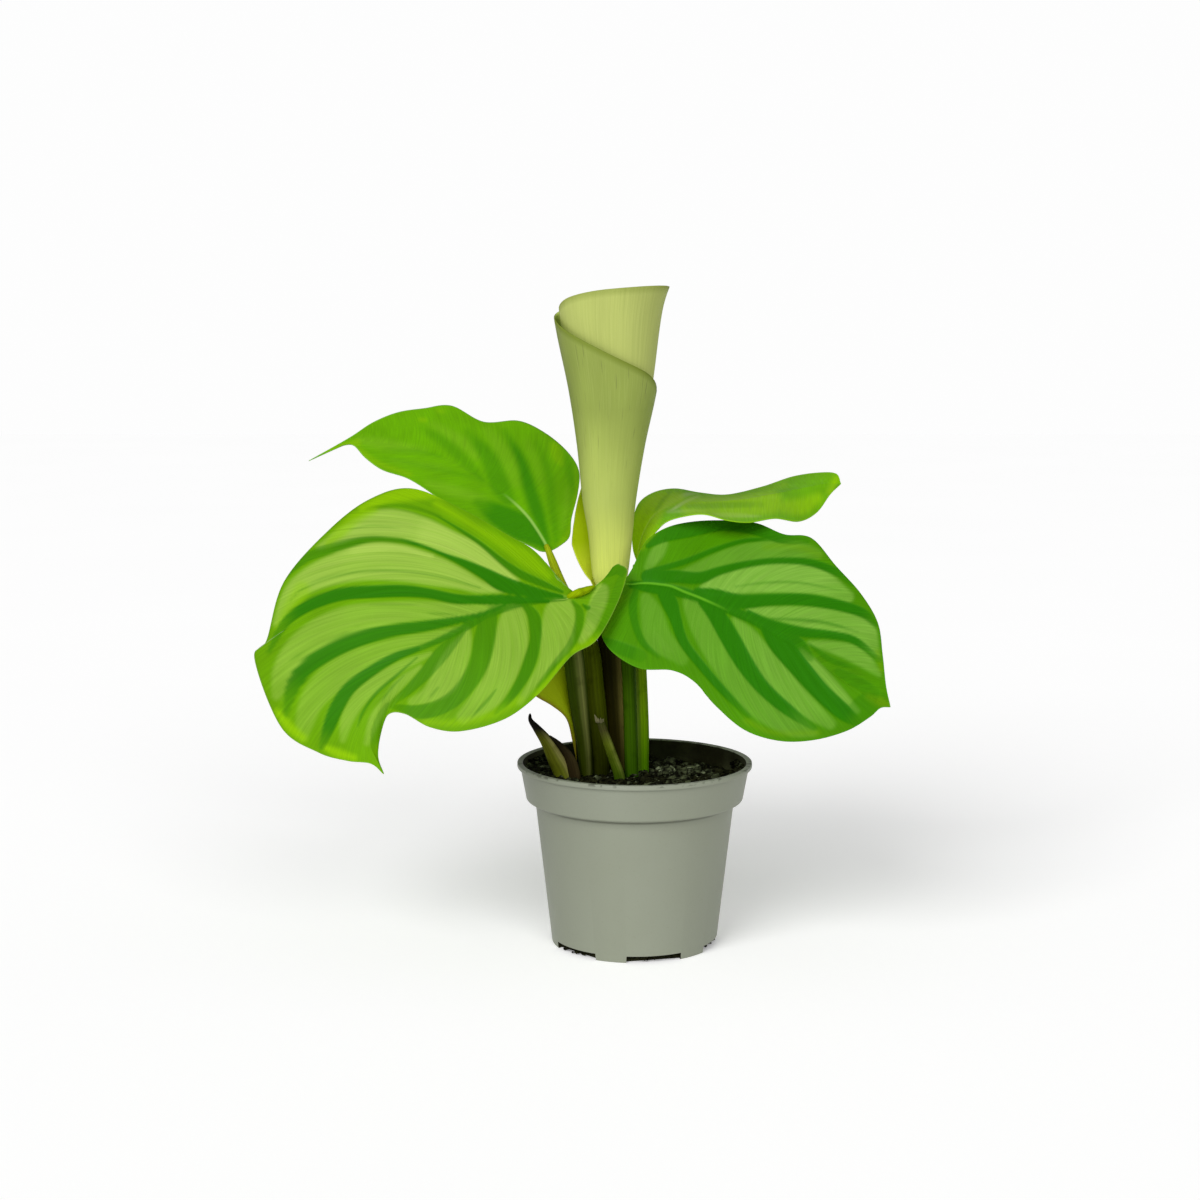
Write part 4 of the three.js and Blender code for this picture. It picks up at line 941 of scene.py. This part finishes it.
def blade_mesh(leaf, columns, rows):
    bm, place = grid_with_map(columns, rows)
    along = place[:, 0]
    out = 1 - 2 * place[:, 1]
    seen = seen_point(leaf, along, out)
    flat = seen[:, :2]
    dark_soft, pale_soft, yellow_soft = leaf["soft"]
    dark = painted(flat, leaf["dark"], dark_soft, 0.5)
    pale = painted(flat, leaf["pale"], pale_soft, 0.3)
    yellow = painted(flat, leaf["yellow"], yellow_soft, 0.0)
    middle = seen_point(leaf, along, 0 * out)[:, :2]
    edge = seen_point(leaf, along, np.sign(out + 1e-9))[:, :2]
    from_midrib = np.hypot(*(flat - middle).T)
    from_edge = np.hypot(*(edge - flat).T)
    pale *= eased(from_edge, 0.4, 3.0)
    inner = np.minimum(1, from_edge / 6)
    groove = np.exp(-(from_midrib / GROOVE_WIDTH)**2) * (1 - along)
    lift = (PALE_RISE * pale - DARK_DIP * dark) * inner - leaf.get("groove", 0.6) * groove
    puckers = np.sin(along * 190 + 2 * np.sin(along * 31))
    lift += PUCKER_HEIGHT * puckers * inner * np.minimum(1, from_midrib / 5)
    move_points(bm, bowed_point(leaf, seen, lift))
    for name, values in (("dark", dark), ("pale", pale), ("yellow", yellow),
                         ("from_midrib", from_midrib), ("from_edge", from_edge)):
        store(bm, name, values)
    bmesh.ops.remove_doubles(bm, verts=bm.verts, dist=2e-5)
    bm.normal_update()
    face_towards(bm, EYE)
    return bm


def add_thickness(piece, thickness):
    solidify = piece.modifiers.new("thickness", "SOLIDIFY")
    solidify.thickness = thickness * MM
    solidify.offset = 0
    solidify.material_offset = 1
    solidify.use_even_offset = False


# %% [markdown]
# ### Leaf finishes
# The top of the blade is satin. Its colour is mixed in the order that a painter would use: the
# plain green first, then the silvery stripes, warm yellow near some margins, the deep green
# strokes over them, and last the fine pale line of the midrib and of the edge. Thin streaks run
# out along the side veins, so the noise that makes them is stretched along the leaf's own map.

# %% Leaf finishes
def leaf_top(name, green, silver, deep, warm, rib_colour, rib_reach, rib_width=0.6):
    top = Finish(name, 0.5, 0.05)
    streak, fine = top.streaks(150, 4, 2), top.streaks(300, 5, 1)
    cloud = top.ramp(top.grain(40, 1), 0.35, 0.65)
    top.mix(cloud, tinted(green, 0.93), tinted(green, 1.07))
    top.lay(top.times(top.amount("pale"), top.ramp(streak, 0.3, 0.7, 0.72, 1.04)), silver)
    top.lay(top.amount("yellow"), warm)
    top.lay(top.amount("dark"), deep)
    top.shade(top.ramp(fine, 0.3, 0.7, 0.9, 1.07))
    rib_fade = top.ramp(top.across(top.map_place(), 0), rib_reach - 0.1, rib_reach, 0.85, 0.0)
    off_rib = top.ramp(top.amount("from_midrib"), 0.25 * rib_width, rib_width)
    top.lay(top.times(top.maths("SUBTRACT", 1.0, off_rib), rib_fade), rib_colour)
    top.lay(top.ramp(top.amount("from_edge"), 0.1, 0.6, 0.35, 0.0), rib_colour)
    top.paint()
    top.plug("Roughness", top.ramp(streak, 0.3, 0.7, 0.44, 0.56))
    top.bump(top.maths("ADD", streak, fine), 0.00012, 0.5)
    return top


def leaf_underside(name, green, deep, rib_colour):
    under = Finish(name, 0.6, 0.15)
    streak = under.streaks(220, 6, 3)
    under.mix(under.ramp(streak, 0.35, 0.65), green, tinted(green, 0.85))
    under.lay(under.times(under.amount("dark"), 0.6), deep)
    under.lay(under.ramp(under.amount("from_midrib"), 0.8, 1.8, 0.7, 0.0), rib_colour)
    under.paint()
    under.bump(streak, 0.0003, 0.7)
    return under


front_left_top = leaf_top("front_left_top", (0.115, 0.30, 0.0), (0.365, 0.53, 0.085),
                          (0.022, 0.165, 0.0), (0.22, 0.45, 0.0), (0.34, 0.50, 0.08), 0.36)
front_right_top = leaf_top("front_right_top", (0.06, 0.23, 0.0), (0.20, 0.41, 0.05),
                           (0.019, 0.16, 0.0), (0.13, 0.29, 0.0), (0.11, 0.36, 0.012), 0.66, 1.0)
back_left_top = leaf_top("back_left_top", (0.12, 0.36, 0.0), (0.18, 0.42, 0.01),
                         (0.025, 0.20, 0.0), (0.20, 0.44, 0.0), (0.30, 0.53, 0.10), 0.5, 1.1)
back_right_top = leaf_top("back_right_top", (0.14, 0.40, 0.0), (0.44, 0.58, 0.22),
                          (0.06, 0.25, 0.0), (0.31, 0.57, 0.0), (0.34, 0.58, 0.03), 0.4)
pale_underside = leaf_underside("pale_underside", (0.20, 0.33, 0.09), (0.11, 0.24, 0.05),
                                (0.36, 0.42, 0.12))
print("leaf finishes made")

# %% Open leaves
def open_leaf(leaf, name, node, top, columns, rows):
    leaf_mesh = blade_mesh(leaf, columns, rows)
    piece = finished_piece(leaf_mesh, name, [node], [top, pale_underside])
    add_thickness(piece, BLADE_THICKNESS)


open_leaf(front_left, "front_left_leaf", "leaf_front_left", front_left_top, 280, 156)
open_leaf(front_right, "front_right_leaf", "leaf_front_right", front_right_top, 250, 140)
open_leaf(back_left, "back_left_leaf", "leaf_back_left", back_left_top, 170, 100)
open_leaf(back_right, "back_right_leaf", "leaf_back_right", back_right_top, 150, 90)

# %% [markdown]
# ## The rolled leaf
# A new leaf of this plant comes up wound into a tall cone, with its pale underside outwards. The
# sheet starts at its outer edge, at the left, and winds in for a little over two turns. Its free
# top edge climbs as it goes. Each point is placed by how far it has turned and by how high it is
# between the foot and that edge.

# %% Cone sections and the top edge
ROLL_AWAY = 9
ROLL_FOOT = 182
ROLL_TOP = 334
ROLL_TURN = 780
ROLL_SECTIONS = [
    (182, 5.4, -13.4), (186, 7.5, -13.2), (190, 8.8, -13.1), (211, 11.1, -13), (227, 13.2, -13.6),
    (255, 16.9, -12.8), (282.5, 21.9, -12), (316, 27.6, -13.2), (334, 30.1, -12.4),
]
ROLL_TOP_EDGE = [
    (0, 205), (30, 232), (90, 255), (165, 277), (207, 288), (260, 298), (308, 308.5), (360, 318.5),
    (450, 328), (545, 333.5), (630, 331.7), (680, 328), (720, 322.5), (780, 315),
]


def through(marks, at, column=1):
    """A smooth curve through uneven marks (place, value), read at each place."""
    marks = np.asarray(marks, float)
    places, values = marks[:, 0], marks[:, column]
    ends = np.arange(len(marks))
    before, after = np.maximum(ends - 1, 0), np.minimum(ends + 1, len(marks) - 1)
    slopes = (values[after] - values[before]) / (places[after] - places[before])
    low = np.clip(np.searchsorted(places, at, side="right") - 1, 0, len(marks) - 2)
    span = places[low + 1] - places[low]
    t = np.clip((at - places[low]) / span, 0, 1)
    return ((2 * t**3 - 3 * t**2 + 1) * values[low] + (t**3 - 2 * t**2 + t) * span * slopes[low]
            + (3 * t**2 - 2 * t**3) * values[low + 1] + (t**3 - t**2) * span * slopes[low + 1])


# %% Rolled sheet
ROLL_FRONT_TURN = 270
ROLL_THICKNESS = 0.4


def roll_point(turn, rise, lift):
    up = ROLL_FOOT + (through(ROLL_TOP_EDGE, turn) - ROLL_FOOT) * rise
    flap = np.maximum(0, 1 - turn / 60)**2 * np.maximum(0, 1 - ((up - 211.5) / 25)**2)
    pitch = 2 + (up - ROLL_FOOT) / (ROLL_TOP - ROLL_FOOT)
    corner = 1.4 * np.exp(-((turn - 548) / 30)**2) * np.clip((rise - 0.92) / 0.08, 0, 1)**2
    radius = (through(ROLL_SECTIONS, up) - pitch * (turn - ROLL_FRONT_TURN) / 360
              + 7.3 * flap + corner + lift)
    angle = np.radians(180 - turn)
    across = through(ROLL_SECTIONS, up, 2)
    points = from_eye(across + radius * np.cos(angle), up, ROLL_AWAY + 0 * up)
    points[:, 1] += radius * np.sin(angle)
    return points, up


roll_mesh, roll_place = grid_with_map(260, 90)
roll_turn = roll_place[:, 0] * ROLL_TURN
ripple = 0.07 * np.sin(roll_turn * 0.9)
roll_points, roll_up = roll_point(roll_turn, roll_place[:, 1], ripple)
move_points(roll_mesh, roll_points)
store(roll_mesh, "from_edge", through(ROLL_TOP_EDGE, roll_turn) - roll_up)
store(roll_mesh, "height", (roll_up - ROLL_FOOT) / (ROLL_TOP - ROLL_FOOT))
store(roll_mesh, "turned", roll_turn / 360)
roll_mesh.normal_update()
axis_point = Vector((-13, ROLL_AWAY, 0)) * MM
outward = sum(face.normal.xy.dot((face.calc_center_median() - axis_point).xy)
              for face in roll_mesh.faces)
if outward < 0:
    bmesh.ops.reverse_faces(roll_mesh, faces=roll_mesh.faces)
print("rolled sheet of", len(roll_mesh.faces), "faces")

# %% Rolled leaf finishes
def roll_outside():
    coat = Finish("rolled_leaf_outside", 0.55, 0.08)
    streak, fine = coat.streaks(300, 2.2, 3), coat.streaks(900, 4, 2)
    height, turned = coat.amount("height"), coat.amount("turned")
    inner_coil = coat.ramp(turned, 1.0, 1.06)
    coat.mix(coat.ramp(height, 0.08, 0.3), (0.62, 0.70, 0.13), (0.42, 0.50, 0.11))
    coat.lay(coat.ramp(height, 0.3, 0.6), (0.25, 0.31, 0.065))
    # Painted shade: the upper left side of the outer coil is made darker.
    painted_left_shade = coat.times(coat.ramp(turned, 0.86, 0.97, 0.0, 0.35), coat.ramp(height, 0.2, 0.5))
    coat.lay(painted_left_shade, (0.12, 0.13, 0.05))
    coat.lay(inner_coil, (0.42, 0.47, 0.13))
    coat.shade(coat.ramp(coat.grain(35, 2, (1, 1, 0.35)), 0.3, 0.7, 0.84, 1.12))
    coat.lay(coat.ramp(streak, 0.45, 0.75, 0.0, 0.25), (0.24, 0.29, 0.06))
    coat.lay(coat.ramp(fine, 0.55, 0.7, 0.0, 0.15), (0.55, 0.62, 0.22))
    crack = coat.times(coat.ramp(coat.streaks(330, 6, 1), 0.67, 0.72, 0.0, 0.6),
                       coat.ramp(height, 0.3, 0.4))
    coat.lay(coat.times(crack, coat.ramp(inner_coil, 0.0, 1.0, 1.0, 0.0)), (0.15, 0.17, 0.05))
    rim = coat.ramp(coat.amount("from_edge"), 0.8, 4.0, 0.8, 0.0)
    coat.lay(coat.times(rim, coat.ramp(inner_coil, 0.0, 1.0, 1.0, 0.55)), (0.15, 0.20, 0.02))
    coat.paint()
    coat.bump(coat.maths("ADD", streak, fine), 0.0002, 0.6)
    return coat


def roll_inside():
    """The glossy inner face, with the yellow green lobe at the sheet's outer edge, painted lighter
    near its foot as painted light.
    """
    coat = Finish("rolled_leaf_inside", 0.5, 0.08)
    streak = coat.streaks(60, 1.5, 2)
    coat.mix(coat.ramp(streak, 0.4, 0.6), (0.42, 0.56, 0.085), (0.54, 0.68, 0.14))
    # Painted light: the lobe is made much lighter and yellower towards its foot.
    lobe = coat.mixed(coat.ramp(coat.amount("height"), 0.03, 0.16), (0.80, 0.90, 0.05),
                      (0.42, 0.58, 0.004))
    coat.lay(coat.ramp(coat.amount("turned"), 0.15, 0.3, 1.0, 0.0), lobe)
    coat.paint()
    coat.bump(streak, 0.0003, 0.5)
    return coat


rolled_leaf = finished_piece(roll_mesh, "rolled_leaf", ["leaf_rolled"],
                             [roll_outside(), roll_inside()])
add_thickness(rolled_leaf, ROLL_THICKNESS)

# %% [markdown]
# ## Stems
# The petioles are smooth, slightly tapered stalks that stand close together in the soil. Each
# is a grid rolled into a tube along its own curved axis. The ends are drawn to a point, one deep
# in the soil and the other inside the base of its blade, so that stem and blade grow into each
# other without a gap.

# %% Tubes
RIDGE_WIDTH = 0.4


def tube_mesh(path, radii, columns, sides, ridge=0.0, ridge_angle=0.0):
    bm, place = grid_with_map(columns, sides)
    dense = smooth_line(path, np.linspace(0, 1, 400))
    length = np.concatenate([[0], np.cumsum(np.linalg.norm(np.diff(dense, axis=0), axis=1))])
    along, around = place[:, 0], place[:, 1] * 2 * np.pi
    wanted = along * length[-1]
    behind, centre, ahead = (np.stack([np.interp(wanted + step, length, dense[:, k])
                                       for k in range(3)], axis=-1) for step in (-1, 0, 1))
    tangent = ahead - behind
    tangent /= np.linalg.norm(tangent, axis=1)[:, None]
    sideways = np.array([1.0, 0, 0]) - tangent * tangent[:, :1]
    sideways /= np.linalg.norm(sideways, axis=1)[:, None]
    forward = np.cross(tangent, sideways)
    radius = np.interp(along, np.linspace(0, 1, len(radii)), radii)
    on_ridge = np.exp(-(np.angle(np.exp(1j * (around - ridge_angle))) / RIDGE_WIDTH)**2)
    radius = radius * (1 + ridge * on_ridge)
    radius = np.where((along < 1e-6) | (along > 1 - 1e-6), 0, radius)[:, None]
    points = centre + radius * (np.cos(around)[:, None] * sideways
                                + np.sin(around)[:, None] * forward)
    move_points(bm, points)
    store(bm, "height", points[:, 2])
    store(bm, "on_ridge", on_ridge)
    bmesh.ops.remove_doubles(bm, verts=bm.verts, dist=1e-6)
    bmesh.ops.recalc_face_normals(bm, faces=bm.faces)
    return bm


def seen_path(points):
    return from_eye(*np.asarray(points, float).T)


# %% Stem finishes
def stem_finish(name, low, high, top, ridge_colour, ridge_share, rises=(86, 170, 185)):
    """Three colours from the foot up, with a ridge of its own colour along one side."""
    stem = Finish(name, 0.5, 0.03)
    streak, blotch = stem.streaks(1.2, 26, 3), stem.grain(130, 3)
    height = stem.amount("height")
    foot, middle, end = rises
    stem.mix(stem.ramp(height, foot, middle), low, high)
    ridge_rise = stem.ramp(height, foot, 0.6 * foot + 0.4 * middle, 0.3 * ridge_share, ridge_share)
    stem.lay(stem.times(stem.amount("on_ridge"), ridge_rise), ridge_colour)
    stem.lay(stem.ramp(height, middle, end), top)
    stem.shade(stem.ramp(streak, 0.35, 0.65, 0.72, 1.25))
    stem.lay(stem.ramp(blotch, 0.55, 0.75, 0.0, 0.5), tinted(low, 0.45))
    stem.paint()
    stem.plug("Roughness", stem.ramp(blotch, 0.3, 0.7, 0.55, 0.72))
    stem.bump(streak, 0.0004, 0.6)
    return stem


left_stem = stem_finish("front_left_stem", (0.026, 0.038, 0.0), (0.030, 0.060, 0.0),
                        (0.22, 0.33, 0.0), (0.17, 0.18, 0.05), 0.75, (86, 166, 176))
back_left_stem = stem_finish("back_left_stem", (0.020, 0.026, 0.0), (0.085, 0.115, 0.001),
                             (0.30, 0.38, 0.006), (0.035, 0.05, 0.0), 0.5, (86, 160, 188))
# Painted shade: the rolled leaf's stalk, deep in the shade between the other stalks, is made nearly
# black.
dark_stem_in_painted_shade = stem_finish("rolled_leaf_stem", (0.016, 0.013, 0.0), (0.012, 0.012, 0.0005),
                        (0.03, 0.03, 0.002), (0.36, 0.31, 0.07), 0.85)
right_stem = stem_finish("front_right_stem", (0.03, 0.085, 0.0), (0.042, 0.095, 0.0),
                         (0.06, 0.16, 0.0), (0.016, 0.045, 0.0), 0.7)
back_right_stem = stem_finish("back_right_stem", (0.075, 0.21, 0.0), (0.20, 0.31, 0.0),
                              (0.24, 0.46, 0.0), (0.34, 0.42, 0.10), 0.7)
print("stem finishes made")

# %% Petioles
BURIED = (70, 80)
SWOLLEN_JOINT = [(-35.5, 177, -27), (-33, 178.4, -28.5), (-29.3, 180, -29), (-25, 181.5, -28),
                 (-20, 184, -26)]


def merged_in(bm, other):
    """Adds another mesh to bm, as its own closed shell."""
    mesh = stored(other, "part")
    bm.from_mesh(mesh)
    bpy.data.meshes.remove(mesh)


def on_blade(leaf, point):
    return tuple(bowed_point(leaf, np.array((*point, 0)[:3], float), 0))


def petiole(name, node, foot, path, radii, finish, ends=(), ridge=0.0, ridge_angle=0.0, joint=None):
    """A stem from deep in the soil, by way of its path, to the points where it ends."""
    points = [(*foot, height) for height in BURIED] + [tuple(point) for point in seen_path(path)]
    bm = tube_mesh(np.array(points + list(ends)), radii, 70, 24, ridge, ridge_angle)
    if joint:
        merged_in(bm, joint)
    finished_piece(bm, name, [node], [finish])


def joint_of(leaf):
    return on_blade(leaf, leaf["stations"][0][0])


petiole("front_left_petiole", "petiole_front_left", (-25, -7),
        [(-25, 89, -7), (-26, 103, -7.5), (-28.3, 122, -9), (-30.6, 143, -12), (-32, 160, -17)],
        [3.5, 3.5, 4.0, 4.9, 5.3, 4.2, 2.2], left_stem, [joint_of(front_left)], 0.10, -1.0,
        tube_mesh(seen_path(SWOLLEN_JOINT), [0.8, 1.7, 2.2, 1.7, 0.4], 20, 14))
petiole("back_left_petiole", "petiole_back_left", (-17.6, 0.5),
        [(-17.6, 89, 0.5), (-18.9, 110, 0.8), (-20.9, 131, 1.5), (-22.8, 151, 3.5), (-27, 164, 6),
         (-31.5, 173, 8), (-35.4, 180.5, 9.5), (-39.4, 190, 11)],
        [4.7, 4.7, 5.1, 5.5, 5.6, 5.4, 5.2, 4.2, 2.8, 2.6, 2.2, 1.2], back_left_stem,
        [joint_of(back_left), on_blade(back_left, (-45.2, 205))], 0, 2.6)
petiole("front_right_petiole", "petiole_front_right", (-1.6, -6.5),
        [(-1.6, 89, -6.5), (-2.0, 108, -5.5), (-2.7, 131, -3), (-3.8, 156, 0), (-5.0, 173, -1)],
        [3.5, 3.5, 3.5, 3.4, 3.5, 3.8, 3.2, 2.2], right_stem, [joint_of(front_right)], 0, -0.9)
petiole("back_right_petiole", "petiole_back_right", (3.6, 4),
        [(3.1, 89, 4), (2.9, 108, 4.5), (2.1, 131, 6), (1.2, 156, 9), (0.6, 180, 13)],
        [4, 4.2, 4.5, 4.5, 4.3, 3.8, 3, 2.0], back_right_stem, [joint_of(back_right)], 0.06, -2.2)
petiole("rolled_leaf_petiole", "petiole_rolled_leaf", (-8.8, 3.5),
        [(-8.6, 89, 3.5), (-9.6, 108, 4.9), (-11.1, 131, 6.8), (-12.6, 155, 8.6), (-13.4, 176, 9),
         (-13.4, 192, 9)],
        [4.3, 4.3, 4.7, 5.4, 5.9, 6.3, 6.7, 6.2, 5.6, 3.0], dark_stem_in_painted_shade, [], 0.05, -0.6)

# %% [markdown]
# ### Sheath, dried shoot and cut stalk
# Low on the left the outermost stalk keeps its open, wing-like sheath. Beside it stands a dried
# shoot with its dark pointed tip, and in front an old stalk that was cut and has frayed.

# %% Outer sheath
SHEATH_THICKNESS = 0.5
outer_sheath = {
    "side": 1, "soft": (1, 1, 1), "sweep": (0, 0), "bow": (-7, 0.1, 0, 0, 0),
    "stations": [
        [(-29.6, 93), (-29.6, 93), (-29.6, 93)],
        [(-30.8, 103), (-31.8, 104), (-30.1, 103)],
        [(-32.2, 114), (-35, 115.5), (-30, 114, -2.5)],
        [(-36, 124), (-42, 122), (-30.5, 126, -4)],
        [(-41, 134), (-51, 127.5), (-32, 140, -4)],
        [(-47.5, 142.5), (-57, 134), (-36.5, 151, -4)],
        [(-53.5, 148), (-53.5, 148), (-53.5, 148)],
    ],
    "dark": [], "pale": [], "yellow": [],
}
sheath_green = Finish("sheath_green", 0.55, 0.06)
sheath_streak = sheath_green.streaks(3, 40, 3)
sheath_rim = sheath_green.ramp(sheath_green.amount("from_edge"), 0.3, 2.5, 0.8, 0.0)
sheath_green.mix(sheath_streak, (0.27, 0.37, 0.001), (0.38, 0.48, 0.002))
sheath_green.lay(sheath_rim, (0.20, 0.13, 0.01))
sheath_green.paint()
sheath_green.bump(sheath_streak, 0.0003, 0.5)
sheath = finished_piece(blade_mesh(outer_sheath, 60, 24), "open_sheath", ["outer_sheath"],
                        [sheath_green, sheath_green])
add_thickness(sheath, SHEATH_THICKNESS)

# %% Dried shoot and cut stalk
def second_finish(bm):
    """Gives the whole mesh the second of its piece's finishes."""
    for face in bm.faces:
        face.material_index = 1
    return bm


husk = stem_finish("dried_husk", (0.11, 0.13, 0.006), (0.10, 0.11, 0.006), (0.006, 0.005, 0.004),
                   (0.27, 0.25, 0.08), 0.9, (86, 107, 113))
scale_brown = stem_finish("dried_scale", (0.020, 0.013, 0.004), (0.026, 0.018, 0.005),
                          (0.012, 0.010, 0.004), (0.08, 0.062, 0.022), 0.6, (86, 98, 106))
shoot_mesh = tube_mesh(
    seen_path([(-31, 66, -12), (-36, 85.5, -12), (-40.6, 95.5, -12), (-45.2, 104, -12.5),
               (-50, 110.5, -13), (-53.2, 114.8, -13), (-53.4, 118.5, -13)]),
    [3.8, 4.5, 5.0, 4.6, 3.4, 2.1, 0.5], 60, 24, 0.06, -0.75)
scale_mesh = tube_mesh(
    seen_path([(-29.5, 72, -15), (-31.5, 88, -14), (-34, 96, -13), (-39, 102.5, -13.5),
               (-44, 107, -14)]),
    [3.4, 3.6, 3.1, 1.9, 0.4], 40, 20, 0.08, -0.6)
merged_in(shoot_mesh, second_finish(scale_mesh))
finished_piece(shoot_mesh, "dried_shoot_husk", ["dried_shoot"], [husk, scale_brown])

# %% Cut stalk with its frayed end
cut_green = stem_finish("cut_stalk_green", (0.035, 0.075, 0.001), (0.085, 0.115, 0.006),
                        (0.05, 0.05, 0.012), (0.17, 0.20, 0.035), 0.7, (88, 106, 113))
frayed_edge = stem_finish("frayed_edge", (0.09, 0.085, 0.035), (0.30, 0.28, 0.15),
                          (0.30, 0.28, 0.15), (0.10, 0.09, 0.04), 0.5)
cut_mesh = tube_mesh(
    seen_path([(-6.5, 66, -15.5), (-7.5, 84, -15.5), (-11.5, 96.5, -16), (-15.8, 109, -16.5),
               (-17.6, 114.5, -16.5)]),
    [3, 3, 2.7, 2.4, 1.9], 48, 20, 0.08, -0.8)
FRAYS = [(-2.4, 2.9, -0.4), (-1.2, 0.9, -1.6), (0.8, -0.3, -1.8), (1.6, 0.3, -0.6), (0.2, 1.2, 1.6)]
for side, rise, near in FRAYS:
    marks = [(-17.6 + 0.6 * side, 113.2, -16.5 + 0.6 * near),
             (-17.6 + 0.95 * side, 115 + 0.4 * rise, -16.5 + 0.95 * near),
             (-17.6 + 1.3 * side, 115 + rise, -16.5 + 1.2 * near)]
    merged_in(cut_mesh, second_finish(tube_mesh(seen_path(marks), [0.9, 0.7, 0.15], 8, 8)))
finished_piece(cut_mesh, "cut_stalk", ["cut_petiole"], [cut_green, frayed_edge])

# %% [markdown]
# ## Floor, light and colour
# The plant stands on plain white, under wide soft light from the front left and a weaker light
# from the front right, both from above. The floor is large, so that no horizon shows, and it glows
# a little so that its shadows stay pale. The sky is brighter where the camera sees it straight
# than where it lights the plant, which keeps the backdrop white and the leaves in their colours.

# %% Floor
FLOOR_REACH = 6
FLOOR_GLOW = 0.215

floor_white = Finish("floor_white", 0.9, 0.1)
floor_white.mix(floor_white.grain(3, 1), (0.93, 0.93, 0.93), (0.95, 0.95, 0.95))
floor_white.paint()
floor_white.shader.inputs["Emission Color"].default_value = (1, 1, 1, 1)
floor_white.shader.inputs["Emission Strength"].default_value = FLOOR_GLOW
floor_mesh = bmesh.new()
bmesh.ops.create_grid(floor_mesh, x_segments=1, y_segments=1, size=FLOOR_REACH)
studio_floor = in_scene("studio_floor", stored(floor_mesh, "studio_floor"))
studio_floor.data.materials.append(floor_white.material)
print("floor", 2 * FLOOR_REACH, "metres across")

# %% World and lights
SKY_ON_THE_PLANT, SKY_SEEN = 0.33, 0.985

world = bpy.data.worlds.new("studio")
world.use_nodes = True
bpy.context.scene.world = world
sky = world.node_tree.nodes["Background"]
sky.inputs["Color"].default_value = (1, 1, 1, 1)
is_seen = world.node_tree.nodes.new("ShaderNodeLightPath")
sky_strength = world.node_tree.nodes.new("ShaderNodeMapRange")
sky_strength.inputs[3].default_value = SKY_ON_THE_PLANT
sky_strength.inputs[4].default_value = SKY_SEEN
world.node_tree.links.new(is_seen.outputs["Is Camera Ray"], sky_strength.inputs[0])
world.node_tree.links.new(sky_strength.outputs[0], sky.inputs["Strength"])


def soft_sun(name, strength, angle, tilt, turn):
    light = bpy.data.lights.new(name, "SUN")
    light.energy = strength
    light.angle = math.radians(angle)
    in_scene(name, light).rotation_euler = (math.radians(tilt), 0, math.radians(turn))


soft_sun("key_light", 2.0, 36, 55, -30)
soft_sun("fill_light", 0.8, 35, 58, 16)
bpy.context.scene.view_settings.view_transform = "Standard"
print("world and two soft lights")
